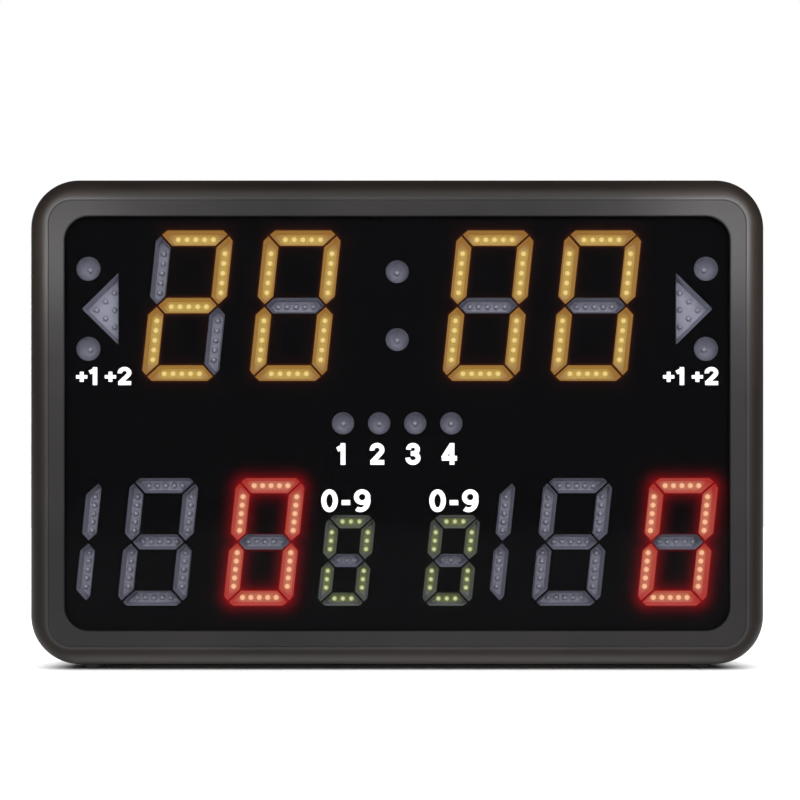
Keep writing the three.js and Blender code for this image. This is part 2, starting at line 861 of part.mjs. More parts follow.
// Connector places in the recess, from the left as seen from behind
const switchX = recessX - connectorPitch;
const inletX = recessX;
const socketX = recessX + connectorPitch;
const recessFloorY = rearY - recessDepth;
const partY = recessFloorY + fitGap;
const headerZ = controllerZ - controllerHeight / 2 + headerWidth / 2;
const headerY = controllerY - boardConnectorDepth;
const headerX = (step) => step * headerPitch;

function controllerBoard() {
  const boardZ0 = controllerZ - controllerHeight / 2;
  const [w, t] = [controllerWidth / 2, boardThickness];
  const base = box(-w, w, controllerY, controllerY + t, boardZ0, boardZ0 + controllerHeight);
  const inside = controllerY + t / 2;
  const sockets = Object.values(ribbonEnds()).map((end) =>
    connectorBlock(end.x, controllerY - boardConnectorDepth, inside, end.to),
  );
  const half = headerWidth / 2;
  const headers = [-2, -1, 1].map((step) => {
    const x = headerX(step);
    return box(x - half, x + half, headerY, inside, headerZ - half, headerZ + half);
  });
  const chips = [-1, 1].map((side) => {
    const x = (side * chipPitch) / 2;
    const [x0, x1] = [x - chipSize / 2, x + chipSize / 2];
    const [z0, z1] = [controllerZ - chipSize / 2, controllerZ + chipSize / 2];
    return box(x0, x1, controllerY - chipHeight, inside, z0, z1);
  });
  return joined(base, [...sockets, ...headers, ...chips]);
}

function powerLead() {
  const startY = partY - inletDepth - fitGap;
  const endY = headerY - fitGap;
  return lead([
    [inletX, startY, recessZ],
    [inletX, startY - headerWidth, recessZ],
    [(inletX + headerX(-2)) / 2, leadBowY, (recessZ + headerZ) / 2],
    [headerX(-2), endY - headerWidth, headerZ],
    [headerX(-2), endY, headerZ],
  ]);
}

function controllerLead() {
  const startY = partY - socketDepth - fitGap;
  const endY = headerY - fitGap;
  return lead([
    [socketX, startY, recessZ],
    [socketX, startY - headerWidth, recessZ],
    [(socketX + headerX(-1)) / 2, leadBowY, (recessZ + headerZ) / 2],
    [headerX(-1), endY - headerWidth, headerZ],
    [headerX(-1), endY, headerZ],
  ]);
}

function hornLead() {
  const startY = shellInnerY - fitGap - hornDepth - fitGap;
  const endY = headerY - fitGap;
  return lead([
    [hornX, startY, hornZ],
    [hornX, startY - headerWidth, hornZ],
    [(hornX + headerX(1)) / 2, leadBowY, (hornZ + headerZ) / 2],
    [headerX(1), endY - headerWidth, headerZ],
    [headerX(1), endY, headerZ],
  ]);
}

// Horn with its mouth towards the grille
function horn() {
  const profile = [
    [0, hornDepth],
    [hornBackRadius, hornDepth],
    [hornRadius, hornShoulder],
    [hornRadius, 0],
    [hornRadius - hornWall, 0],
    [hornThroatRadius, hornDepth - 2 * hornWall],
    [0, hornDepth - 2 * hornWall],
  ].map(([x, y]) => new THREE.Vector2(x, y));
  const geometry = new THREE.LatheGeometry(profile, roundSides);
  return solid(geometry.rotateZ(Math.PI));
}

// Outline of the box of the rear shell, moved inwards
function shellOutline(distance, steps = cornerSteps) {
  const width = caseWidth - 2 * shellSideInset - 2 * distance;
  const height = caseHeight - shellTopInset - 2 * distance;
  const middle = footHeight + (caseHeight - shellTopInset) / 2;
  return roundedRectangle(0, middle, width, height, shellCornerRadius - distance, steps);
}

const shellTopZ = footHeight + caseHeight - shellTopInset;
const plateZ = shellTopZ - plateTopInset;
const legX = caseWidth / 2 - legInset;
const legPivotY = rearY - legSetback - legKnuckle;
const legFloorY = legPivotY - legKnuckle - legFloorGap;
const legFootZ = footHeight + legFootRise;
const legPivotZ = legFootZ + 2 * fitGap + tipHeight + legLength;
const legRoofZ =
  legPivotZ + legKnuckle * (Math.sin(legSwing) + Math.cos(legSwing)) + fitGap;
const legPocketWidth = legWidth + 2 * legSideGap;
const legMiddle = legKnuckle - legThickness / 2;

// A block on the inside of the back wall and the hollow that is cut in it from behind
function pocket(x, z0, z1, width, floorY) {
  const half = width / 2;
  const block = box(
    x - half - shellWall,
    x + half + shellWall,
    floorY - shellWall,
    rearY - shellWall / 2,
    z0 - shellWall,
    z1 + shellWall,
  );
  return { block, hollow: box(x - half, x + half, floorY, rearY + overrun, z0, z1) };
}

function legPocket(side) {
  return pocket(side * legX, legFootZ - fingerRoom, legRoofZ, legPocketWidth, legFloorY);
}

// Recess for a wall plate, with room behind it for the head of a screw
function platePocket(side) {
  const seat = rearY - 2 * fitGap - plateThickness;
  const halfHeight = plateHeight / 2 - plateRim;
  const room = pocket(side * plateX, plateZ - halfHeight, plateZ + halfHeight,
    plateWidth - 2 * plateRim, seat - keyholeRoom);
  const rim = pocket(side * plateX, plateZ - plateHeight / 2 - fitGap,
    plateZ + plateHeight / 2 + fitGap, plateWidth + 2 * fitGap, seat);
  return { blocks: [room.block, rim.block], hollows: [room.hollow, rim.hollow] };
}

function vents() {
  const slots = [];
  for (let row = 0; row < ventRows; row += 1) {
    const z = shellTopZ - ventTopInset - row * (ventHeight + ventRowGap);
    for (let i = 0; i < ventCount; i += 1) {
      const x = (i - (ventCount - 1) / 2) * ventPitch;
      const outline = rectangle(x, z, ventWidth, ventHeight);
      slots.push(slab(outline, shellInnerY - overrun, rearY + overrun));
    }
  }
  return slots;
}

function hornSlots() {
  const rows = Math.floor(grilleRadius / grillePitch);
  return Array.from({ length: 2 * rows + 1 }, (_, i) => {
    const z = (i - rows) * grillePitch;
    const length = 2 * Math.sqrt(grilleRadius ** 2 - z ** 2);
    const outline = rectangle(hornX, hornZ + z, length, grilleSlot);
    return slab(outline, shellInnerY - overrun, rearY + overrun);
  });
}

// Ears of the handle, on the top wall
const handleAxisZ = shellTopZ + handleLift + handleThickness / 2;
const earInnerX = handleInnerWidth / 2 + handleArm + earGap;

function ear(side) {
  const dome = arc(handleHingeY, handleAxisZ, earRadius, earRadius, 0, Math.PI, rollSteps);
  const foot = shellTopZ - shellWall / 2;
  const outline = [
    ...dome,
    new THREE.Vector2(handleHingeY - earRadius, foot),
    new THREE.Vector2(handleHingeY + earRadius, foot),
  ];
  return crossSlab(outline, earWidth).translate([side * (earInnerX + earWidth / 2), 0, 0]);
}

function postPlaces() {
  const upper = windowTop - postInset;
  const lower = windowBottom + postInset;
  const outer = legX + legPocketWidth;
  const inner = (plateX + plateWidth / 2 + shellWall + legX - legPocketWidth / 2) / 2;
  return [-1, 1].flatMap((side) => [
    [side * outer, upper],
    [side * outer, lower],
    [side * inner, upper - plateHeight],
    [side * inner, lower],
  ]);
}

function controllerPosts() {
  const reach = [controllerWidth, controllerHeight].map((s) => s / 2 - 2 * postRadius);
  return [[-1, -1], [-1, 1], [1, -1], [1, 1]].map(([x, z]) => [
    x * reach[0],
    controllerZ + z * reach[1],
  ]);
}

// Rear shell: flanged tray with pockets, posts, vents and cut-outs
function rearShell() {
  const quarter = Math.PI / 2;
  const edge = arc(shellEdge, rearY - shellEdge, shellEdge, shellEdge, 2 * quarter, quarter,
    sheetSteps);
  const walls = [new THREE.Vector2(0, shellFrontY), ...edge];
  const outer = loft(walls.map((p) => ringAt(shellOutline(p.x), p.y)));
  const flange = slab(frameOutline(0), shellFrontY, flangeRearY);
  const bay = slab(shellOutline(shellWall), shellFrontY - overrun, shellInnerY);
  const legPockets = [-1, 1].map(legPocket);
  const plates = [-1, 1].map(platePocket);
  const recess = pocket(recessX, recessZ - recessHeight / 2, recessZ + recessHeight / 2,
    recessWidth, recessFloorY);
  const boardPosts = postPlaces().map(([x, z]) =>
    rodAlongY(postRadius, x, boardRearY + fitGap, rearY - shellWall / 2, z, postSides),
  );
  const shortPosts = controllerPosts().map(([x, z]) =>
    rodAlongY(postRadius, x, controllerY + boardThickness + fitGap, rearY - shellWall / 2, z, postSides),
  );
  const blocks = [...legPockets.map((p) => p.block), ...plates.flatMap((p) => p.blocks)];
  const added = [...blocks, recess.block, ...boardPosts, ...shortPosts, ear(-1), ear(1)];
  const holes = screwPlaces().map(([x, z]) =>
    rodAlongY(screwRadius + fitGap, x, shellFrontY - overrun, flangeRearY + overrun, z),
  );
  const pinHoles = [-1, 1].map((side) =>
    rodAlongX(legPinRadius + fitGap, side * legX - legPocketWidth, side * legX + legPocketWidth,
      legPivotY, legPivotZ),
  );
  const handleHoles = rodAlongX(handlePinRadius + fitGap, -earInnerX - 2 * earWidth,
    earInnerX + 2 * earWidth, handleHingeY, handleAxisZ);
  const feet = [-1, 1].map((side) => footHole(side * footX, rearFootY));
  const hollows = [...legPockets.map((p) => p.hollow), ...plates.flatMap((p) => p.hollows)];
  const cuts = [...hollows, recess.hollow, ...holes, ...pinHoles, handleHoles, ...feet];
  const shell = joined(outer.add(flange).subtract(bay), added);
  return cutBy(shell, [...cuts, ...vents(), ...hornSlots(), ...connectorCuts()]);
}

// Rocker switch: its rocker tilts about X, and its tray leaves room for both ends of the travel
const trayHalf =
  rockerHalfLength * Math.cos(rockerTilt) + rockerRise * Math.sin(rockerTilt) + fitGap;
const switchHalfHeight = trayHalf + switchWall;
const rockerPivotY = partY + switchFlange - rockerRise + rockerDip;
const rockerWidth = switchWidth - 2 * switchWall - 2 * fitGap;

function switchHousing() {
  const flange = rectangle(0, 0, switchWidth + 2 * switchFlangeLip,
    2 * (switchHalfHeight + switchFlangeLip));
  const body = rectangle(0, 0, switchWidth, 2 * switchHalfHeight);
  const tray = rectangle(0, 0, switchWidth - 2 * switchWall, 2 * trayHalf);
  const floorY = rockerPivotY - rockerBelly - fitGap;
  const whole = slab(flange, partY, partY + switchFlange).add(
    slab(body, partY - switchDepth, partY + switchFlange / 2),
  );
  return whole.subtract(slab(tray, floorY, partY + switchFlange + overrun));
}

// Rocker in its middle position, about its own pivot
function switchRocker() {
  const belly = arc(0, 0, rockerBelly, rockerBelly, (5 * Math.PI) / 4, (3 * Math.PI) / 4,
    roundSteps);
  const outline = [
    ...belly,
    new THREE.Vector2(rockerRise - rockerEdge, rockerHalfLength),
    new THREE.Vector2(rockerRise, rockerHalfLength),
    new THREE.Vector2(rockerRise - rockerDip, 0),
    new THREE.Vector2(rockerRise, -rockerHalfLength),
    new THREE.Vector2(rockerRise - rockerEdge, -rockerHalfLength),
  ];
  return crossSlab(outline, rockerWidth);
}

function powerInlet() {
  const mouth = switchFlange;
  const profile = [
    [0, mouth - fitGap],
    [inletPin, mouth - fitGap],
    [inletPin, mouth - inletBoreDepth],
    [inletBore, mouth - inletBoreDepth],
    [inletBore, mouth],
    [inletFlangeRadius, mouth],
    [inletFlangeRadius, 0],
    [inletRadius, 0],
    [inletRadius, -inletDepth],
    [0, -inletDepth],
  ].map(([x, y]) => new THREE.Vector2(x, y));
  return solid(new THREE.LatheGeometry(profile, lampSides));
}

function controllerSocket() {
  const flange = rectangle(0, 0, socketWidth + 2 * socketLip, socketHeight + 2 * socketLip);
  const body = rectangle(0, 0, socketWidth, socketHeight);
  const bore = rectangle(0, 0, socketBoreWidth, socketBoreHeight);
  return slab(flange, 0, switchFlange)
    .add(slab(body, -socketDepth, switchFlange / 2))
    .subtract(slab(bore, switchFlange - socketBoreDepth, switchFlange + overrun));
}

function connectorCuts() {
  const through = [recessFloorY - shellWall - overrun, recessFloorY + overrun];
  const spare = 2 * fitGap;
  return [
    slab(rectangle(switchX, recessZ, switchWidth + spare, 2 * switchHalfHeight + spare), ...through),
    rodAlongY(inletRadius + fitGap, inletX, ...through, recessZ, roundSides),
    slab(rectangle(socketX, recessZ, socketWidth + spare, socketHeight + spare), ...through),
  ];
}

// Leg about its pivot: rounded inside, square heel outside that meets the roof of the pocket
function legBody() {
  const inner = legKnuckle - legThickness;
  const knuckle = arc(0, 0, legKnuckle, legKnuckle, Math.PI / 2, Math.PI, roundSteps);
  const outline = [
    new THREE.Vector2(legKnuckle, legKnuckle),
    ...knuckle,
    new THREE.Vector2(inner, -2 * legKnuckle),
    new THREE.Vector2(inner, -legLength),
    new THREE.Vector2(legKnuckle, -legLength),
  ];
  const bar = crossSlab(outline, legWidth);
  const tongue = box(-tongueWidth / 2, tongueWidth / 2, legMiddle - tongueThickness / 2,
    legMiddle + tongueThickness / 2, -legLength - tongueHeight, -legLength + overrun);
  const channels = [-1, 1].map((side) => {
    const x = (side * legWidth) / 4;
    const half = legChannelWidth / 2;
    return box(x - half, x + half, legKnuckle - legChannelDepth, legKnuckle + overrun,
      legChannelMargin - legLength, -legChannelMargin);
  });
  const bore = rodAlongX(legPinRadius + fitGap, -legWidth, legWidth, 0, 0);
  return cutBy(bar.add(tongue), [...channels, bore]);
}

// Rubber boot at the foot of a leg, with a slot for the leg's tongue
function legTip() {
  const top = -legLength - fitGap;
  const foot = top - tipHeight;
  const round = legThickness / 2;
  const outline = [
    new THREE.Vector2(legKnuckle, top),
    new THREE.Vector2(legKnuckle - legThickness, top),
    ...arc(legMiddle, foot + round, round, round, Math.PI, 2 * Math.PI, rollSteps),
  ];
  const slot = box(
    -tongueWidth / 2 - fitGap,
    tongueWidth / 2 + fitGap,
    legMiddle - tongueThickness / 2 - fitGap,
    legMiddle + tongueThickness / 2 + fitGap,
    -legLength - tongueHeight - fitGap,
    top + overrun,
  );
  return crossSlab(outline, legWidth).subtract(slot);
}

function legPin() {
  const half = legPocketWidth / 2 + shellWall;
  return rodAlongX(legPinRadius, -half, half, 0, 0);
}

// Handle bail lying flat, about its hinge line
function handleBail() {
  const outerHalf = handleInnerWidth / 2 + handleArm;
  const innerHalf = handleInnerWidth / 2;
  const far = handleReach + handleThickness / 2 - handleBevel;
  const near = handleReach - handleThickness / 2 + handleBevel;
  const quarter = Math.PI / 2;
  const shapeOuter = outerHalf - handleBevel;
  const shapeInner = innerHalf + handleBevel;
  const small = handleCorner - handleArm + handleBevel;
  const outline = [
    new THREE.Vector2(shapeInner, 0),
    new THREE.Vector2(shapeOuter, 0),
    ...arc(shapeOuter - handleCorner, far - handleCorner, handleCorner, handleCorner,
      0, quarter, roundSteps),
    ...arc(handleCorner - shapeOuter, far - handleCorner, handleCorner, handleCorner,
      quarter, 2 * quarter, roundSteps),
    new THREE.Vector2(-shapeOuter, 0),
    new THREE.Vector2(-shapeInner, 0),
    ...arc(small - shapeInner, near - small, small, small, 2 * quarter, quarter, smallSteps),
    ...arc(shapeInner - small, near - small, small, small, quarter, 0, smallSteps),
  ];
  const geometry = new THREE.ExtrudeGeometry(new THREE.Shape(outline), {
    depth: handleThickness - 2 * handleBevel,
    bevelThickness: handleBevel,
    bevelSize: handleBevel,
    bevelSegments: 1,
  });
  geometry.translate(0, 0, handleBevel - handleThickness / 2);
  const knuckles = [-1, 1].map((side) => {
    const x0 = side > 0 ? innerHalf : -outerHalf;
    return rodAlongX(handleThickness / 2, x0, x0 + handleArm, 0, 0, roundSides);
  });
  const bore = rodAlongX(handlePinRadius + fitGap, -2 * outerHalf, 2 * outerHalf, 0, 0);
  return joined(solid(geometry), knuckles).subtract(bore);
}

// Headed pin through an ear and a handle arm, pointing inwards along X from the head
function handlePin() {
  const length = earWidth + earGap + handleArm;
  const profile = [
    [0, -fitGap - pinHeadHeight],
    [pinHeadRadius, -fitGap - pinHeadHeight],
    [pinHeadRadius, -fitGap],
    [handlePinRadius, -fitGap],
    [handlePinRadius, length],
    [0, length],
  ].map(([x, y]) => new THREE.Vector2(x, y));
  return solid(new THREE.LatheGeometry(profile, smallSides));
}

// Steel plate with a keyhole: the head goes in below and the shank rises into the slot
function wallPlate() {
  const outline = roundedRectangle(0, 0, plateWidth, plateHeight, plateRim, smallSteps);
  const entry = rodAlongY(keyholeRadius, 0, -overrun, plateThickness + overrun,
    -keyholeDrop, lampSides);
  const slotTop = keyholeSlotLength - keyholeDrop;
  const slotMiddle = (slotTop - keyholeDrop) / 2;
  const slot = slab(rectangle(0, slotMiddle, keyholeSlotWidth, keyholeSlotLength),
    -overrun, plateThickness + overrun);
  const crown = rodAlongY(keyholeSlotWidth / 2, 0, -overrun, plateThickness + overrun, slotTop);
  return cutBy(slab(outline, 0, plateThickness), [entry, slot, crown]);
}

// Pan-head screw, its shank pointing to -Y from the face under the head
function caseScrew() {
  const profile = [
    [0, -screwLength],
    [screwRadius, -screwLength],
    [screwRadius, 0],
    [screwHeadRadius, 0],
    [screwHeadRadius, screwHeadHeight],
    [0, screwHeadHeight],
  ].map(([x, y]) => new THREE.Vector2(x, y));
  return solid(new THREE.LatheGeometry(profile, screwSides));
}

// Rubber foot with a stem that is pushed through the bottom wall
function foot() {
  const top = footHeight - fitGap;
  const profile = [
    [0, 0],
    [footRadius - footChamfer, 0],
    [footRadius, footChamfer],
    [footRadius, top],
    [footStemRadius, top],
    [footStemRadius, footHeight + bezelWall + fitGap],
    [0, footHeight + bezelWall + fitGap],
  ].map(([x, y]) => new THREE.Vector2(x, y));
  return solid(new THREE.LatheGeometry(profile, roundSides).rotateX(Math.PI / 2));
}

function put(group, made, x, y, z) {
  made.position.set(x, y, z);
  group.add(made);
  return made;
}

function displayGroup() {
  const group = new THREE.Group();
  const units = layOut();
  group.add(mesh("lens", lensSheet(), clear));
  group.add(mesh("lens_gasket", gasketRing(), rubberBlack));
  group.add(mesh("face_panel", facePanel(units), maskBlack));
  for (const unit of units) {
    put(group, mesh(unit.name, reflector(unit), reflectorGrey), unit.x, moduleY, unit.z);
  }
  for (const board of ["timer", "home", "guest"]) {
    group.add(mesh(`${board}_board`, ledBoard(units, board), boardWhite));
    const cable = mesh(`${board}_ribbon`, ribbonCable(board), ribbonGrey);
    put(group, cable, ribbonEnds()[board].x, 0, 0);
  }
  return group;
}

function electricsGroup() {
  const group = new THREE.Group();
  group.add(mesh("controller_board", controllerBoard(), controllerGreen));
  put(group, mesh("horn", horn(), blackPlastic), hornX, shellInnerY - fitGap, hornZ);
  group.add(mesh("power_lead", powerLead(), rubberBlack));
  group.add(mesh("controller_lead", controllerLead(), rubberBlack));
  group.add(mesh("horn_lead", hornLead(), rubberBlack));
  put(group, mesh("switch_housing", switchHousing(), blackPlastic), switchX, 0, recessZ);
  const rocker = mesh("switch_rocker", switchRocker(), blackPlastic);
  put(group, rocker, switchX, rockerPivotY, recessZ).rotation.x = -rockerTilt;
  put(group, mesh("power_inlet", powerInlet(), blackPlastic), inletX, partY, recessZ);
  put(group, mesh("controller_socket", controllerSocket(), blackPlastic), socketX, partY, recessZ);
  return group;
}

function caseGroup() {
  const group = new THREE.Group();
  group.add(mesh("front_bezel", frontBezel(), caseBlack));
  group.add(mesh("rear_shell", rearShell(), shellBlack));
  screwPlaces().forEach(([x, z], i) => {
    put(group, mesh(`case_screw_${i + 1}`, caseScrew(), zincSteel), x, screwSeatY, z);
  });
  const sides = { left: -1, right: 1 };
  for (const [word, side] of Object.entries(sides)) {
    put(group, mesh(`foot_front_${word}`, foot(), rubberBlack), side * footX, frontFootY, 0);
    put(group, mesh(`foot_rear_${word}`, foot(), rubberBlack), side * footX, rearFootY, 0);
    const plateY = rearY - fitGap - plateThickness;
    put(group, mesh(`wall_plate_${word}`, wallPlate(), zincSteel), side * plateX, plateY, plateZ);
  }
  return group;
}

function mechanismGroup() {
  const group = new THREE.Group();
  const sides = { left: -1, right: 1 };
  for (const [word, side] of Object.entries(sides)) {
    const leg = new THREE.Group();
    leg.position.set(side * legX, legPivotY, legPivotZ);
    leg.add(mesh(`leg_${word}`, legBody(), blackPlastic));
    leg.add(mesh(`leg_tip_${word}`, legTip(), rubberBlack));
    leg.add(mesh(`leg_pin_${word}`, legPin(), zincSteel));
    group.add(leg);
    const pin = mesh(`handle_pin_${word}`, handlePin(), zincSteel);
    pin.rotation.z = (side * Math.PI) / 2;
    put(group, pin, side * (earInnerX + earWidth), handleHingeY, handleAxisZ);
  }
  put(group, mesh("carry_handle", handleBail(), blackPlastic), 0, handleHingeY, handleAxisZ);
  return group;
}

const scoreboard = new THREE.Group();
scoreboard.add(caseGroup(), displayGroup(), electricsGroup(), mechanismGroup());

export default scoreboard;
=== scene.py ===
import json
import math

import bmesh
import bpy
import numpy as np
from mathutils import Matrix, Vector
from mathutils.bvhtree import BVHTree
from mathutils.geometry import delaunay_2d_cdt

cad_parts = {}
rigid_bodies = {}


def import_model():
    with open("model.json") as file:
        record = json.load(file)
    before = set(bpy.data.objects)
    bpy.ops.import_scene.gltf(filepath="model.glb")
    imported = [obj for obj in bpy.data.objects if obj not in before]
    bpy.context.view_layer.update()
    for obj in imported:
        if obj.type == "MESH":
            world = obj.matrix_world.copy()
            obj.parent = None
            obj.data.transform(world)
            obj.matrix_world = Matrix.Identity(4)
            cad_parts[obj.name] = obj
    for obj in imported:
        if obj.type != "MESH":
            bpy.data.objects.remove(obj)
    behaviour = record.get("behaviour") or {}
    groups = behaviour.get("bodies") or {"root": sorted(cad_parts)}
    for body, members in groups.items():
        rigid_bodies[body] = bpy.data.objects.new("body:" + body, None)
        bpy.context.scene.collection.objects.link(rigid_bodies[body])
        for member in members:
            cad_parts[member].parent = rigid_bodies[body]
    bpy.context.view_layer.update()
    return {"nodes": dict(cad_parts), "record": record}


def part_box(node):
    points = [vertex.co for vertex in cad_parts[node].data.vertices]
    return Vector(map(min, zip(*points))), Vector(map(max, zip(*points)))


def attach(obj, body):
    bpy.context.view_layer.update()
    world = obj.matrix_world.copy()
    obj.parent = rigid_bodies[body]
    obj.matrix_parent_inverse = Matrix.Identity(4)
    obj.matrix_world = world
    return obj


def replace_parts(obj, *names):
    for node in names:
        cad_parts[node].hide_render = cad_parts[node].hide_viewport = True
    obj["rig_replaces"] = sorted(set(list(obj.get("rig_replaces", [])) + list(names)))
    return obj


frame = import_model()

# Lengths are in millimetres and become metres in new_piece. Angles are in degrees. The display
# faces -Y.
MM = 0.001
WELD = 0.001
TINY = 1e-6
SHARP = 35
BEVEL_FROM = 40

# Digits: how they lean, their gaps, sizes, stroke, cut corner, and the count and steps of their diodes
SLOPE = math.tan(math.radians(6))
SEGMENT_GAP = 1.5
TIMER = dict(width=62.7, height=122.6, stroke=12.7, corner=8.1, leds=5, across=7.2, up=8.0)
SCORE = dict(width=56.2, height=103.9, stroke=12.2, corner=7.3, leds=5, across=6.9, up=6.9)
FOUL = dict(width=40.1, height=73.7, stroke=10.6, corner=5.7, leds=3, across=6.9, up=6.9)

# Wells of the reflectors, with the round lamps and the arrows
CORNER_ROUND = 0.7
MOST_SHARE = 0.4
ARROW_ROUND = 1.5
BLOCK_ROUND = 1.0
WELL_TAPER = 2.2
TAPER_SHARES = (0.2, 0.4, 0.6, 0.8, 1.0)
BOWL_FLOOR = 3.2
BOWL_RINGS = 8
MOUTH_INSET = 0.12
MOUTH_DEPTH = 0.25
LAMP_MARGIN = 3.6
COLON_RADIUS = 9.4
PERIOD_RADIUS = 9.1
PERIOD_PITCH = 29.4
BONUS_RADIUS = 9.9
ARROW_LENGTH = 30.1
ARROW_HALF = 29.6
ARROW_LED_INSET = 5.0
ARROW_ACROSS = 7.3
ARROW_UP = 13.9

# Diodes, the boards that carry them, and the light on the wells and the mask
LED_RADIUS = 2.4
LED_HEIGHT = 2.5
DOME_SIDES = 14
DOME_ANGLES = (0, 22, 45, 66, 84)
BOARD_THICKNESS = 1.6
CONNECTOR_HALVES = (12, 3)
CONNECTOR_INSET = 0.6
GRID_STEP = 1.7
LIGHT_MARGIN = 1.0
HALO_REACH = 15.0
FAR_REACH = 6.75
FAR_SHARE = 0.35
INNER_SHARE = 0.5
MASK_EDGE = 6
MASK_ROUND = 0.15
MASK_CLEAR = 0.6

# Front frame, from its outer edge inwards
CASE_RADIUS = 40.0
RIDGE_RADIUS = 19.0
WINDOW_RADIUS = 20.0
FRAME_WIDTH = 30.0
ROLL_WIDTH = 16.4
WINDOW_DROP = 1.5
ROLL_DEPTH = 18.0
CREST = 1.2
LIP = 1.3
BAND_RECESS = 0.8
BAND_FILLET = (0.9, 0.5)
BAND_THICKNESS = 2.5
LENS_OVERLAP = 8.0
WALL = 3.0

# Print: its thickness and its gap to what it lies on, and where the numerals lie under their lamps
INK_DEPTH = 0.06
INK_GAP = 0.01
NUMERAL_LEFT = 1.6
NUMERAL_BELOW = 25.0
NUMERAL_HEIGHT = 17.6

# Marks on both sides: name, text, distance out, shift to the right, z, height, stretch and gap
MARKS = (("bonus_marks", "+1 +2", 239, 0, 239, 14.6, 1.12, 0.09),
         ("foul_marks", "0-9", 44, 2.3, 137.5, 18.6, 1.1, 0.13))

# What each digit shows, and the segments that this lights
SHOWN = {"timer_digit_1": "2", "timer_digit_2": "0", "timer_digit_3": "0", "timer_digit_4": "0",
         "home_units": "0", "guest_units": "0", "home_fouls": "0", "guest_fouls": "0"}
GLYPHS = {"0": "abcdef", "2": "abged"}


def linear(r, g, b):
    """A colour given as 0 to 255, as Blender's linear numbers."""
    def one(c):
        c /= 255
        return c / 12.92 if c <= 0.04045 else ((c + 0.055) / 1.055) ** 2.4
    return np.array([one(r), one(g), one(b)])


# Light of each colour of diode: the dome's top and edge, the well close to a diode with the reach
# of that light, the whole well with the share of it that is left far from a diode, the halo on the
# mask with its reach, the faint light further out, the painted light that tints the plastic's own grey
# close to a diode, as a factor on it, with the share of that painted tint that is left far from one,
# and the share of a dome's height where it starts to brighten
GLOW = {
    "amber": dict(dome=linear(230, 202, 130), edge=linear(182, 150, 70), near=linear(78, 104, 30),
                  spread=3.8, well=linear(168, 111, 34), even=0.62, halo=linear(56, 21, 4), reach=1.2,
                  far=linear(0, 0, 0), painted_tint=(0.6, 0.5, 0.03), painted_far_share=0.75, core=0.2),
    "red": dict(dome=linear(242, 186, 144), edge=linear(196, 118, 84), near=linear(0, 108, 72),
                spread=3.6, well=linear(184, 40, 22), even=0.72, halo=linear(100, 4, 5), reach=2.4,
                far=linear(80, 3, 8), painted_tint=(0.55, 0.05, 0.03), painted_far_share=0.75, core=0.2),
    "green": dict(dome=linear(216, 220, 172), edge=linear(98, 106, 34), near=linear(52, 64, 0),
                  spread=3.8, well=linear(18, 20, 6), even=0.5, halo=linear(14, 16, 4), reach=0.8,
                  far=linear(0, 0, 0), painted_tint=(0.5, 0.6, 0.08), painted_far_share=0.25, core=0.45),
}

# How much of its light's colour a dome's own plastic has, and the share of its height that brightens
DOME_TINT = 0.12
CORE_SPAN = 0.55

# Painted shade and light on unlit wells beside the digits' wells, by count of diodes: lamps darker, arrows
# paler
UNLIT_PAINTED_SHADING = {1: 0.84, 6: 1.26}


# Outlines: lists of (x, z)

def arc(x, z, radius_x, radius_z, start, end, steps):
    """Points of an arc, its two ends included. Angles are in quarter turns."""
    turns = [math.radians(90 * (start + (end - start) * i / steps)) for i in range(steps + 1)]
    return [(x + radius_x * math.cos(t), z + radius_z * math.sin(t)) for t in turns]


def circle(x, z, radius, steps=40):
    return arc(x, z, radius, radius, 0, 4, steps)[:-1]


def rounded(x, z, width, height, radius, steps=20):
    w, h = width / 2 - radius, height / 2 - radius
    corners = ((w, -h, 3), (w, h, 0), (-w, h, 1), (-w, -h, 2))
    return [p for cx, cz, turn in corners
            for p in arc(x + cx, z + cz, radius, radius, turn, turn + 1, steps)]


def moved(points, x, z):
    return [(px + x, pz + z) for px, pz in points]


def flipped(points, x, z):
    return [(px * x, pz * z) for px, pz in points][::-1]


def area(points):
    return sum(a[0] * b[1] - b[0] * a[1] for a, b in zip(points, points[1:] + points[:1])) / 2


def anticlockwise(points):
    return points if area(points) > 0 else points[::-1]


def neighbours(points):
    """Each point of a loop between the one before and the one after it."""
    return zip(points[-1:] + points[:-1], points, points[1:] + points[:1])


def softened(points, radius=CORNER_ROUND, steps=3):
    """The outline with each corner rounded off, by at most a share of the sides that meet there."""
    out = []
    for before, at, after in neighbours(points):
        at, before, after = Vector(at), Vector(before), Vector(after)
        reach = [min(radius, MOST_SHARE * (p - at).length) for p in (before, after)]
        first = at + (before - at).normalized() * reach[0]
        last = at + (after - at).normalized() * reach[1]
        for i in range(steps + 1):
            t = i / steps
            out.append(tuple(first * (1 - t) ** 2 + at * 2 * t * (1 - t) + last * t ** 2))
    return out


def inset(points, distance):
    """A convex anticlockwise outline with each side moved inwards."""
    out = []
    for before, at, after in neighbours(points):
        one = (Vector(at) - Vector(before)).normalized()
        two = (Vector(after) - Vector(at)).normalized()
        turn = one.x * two.y - one.y * two.x
        along = distance * (1 - one.dot(two)) / turn if abs(turn) > 1e-9 else 0
        out.append((at[0] - one.y * distance - one.x * along, at[1] + one.x * distance - one.y * along))
    return out


def inside(points, loop):
    """Which of the points, an array of (x, z), lie in the loop."""
    x, z = points.T
    hit = np.zeros(len(points), bool)
    for (x0, z0), (x1, z1) in zip(loop, loop[1:] + loop[:1]):
        if z0 != z1:
            hit ^= ((z0 > z) != (z1 > z)) & (x < (x1 - x0) * (z - z0) / (z1 - z0) + x0)
    return hit


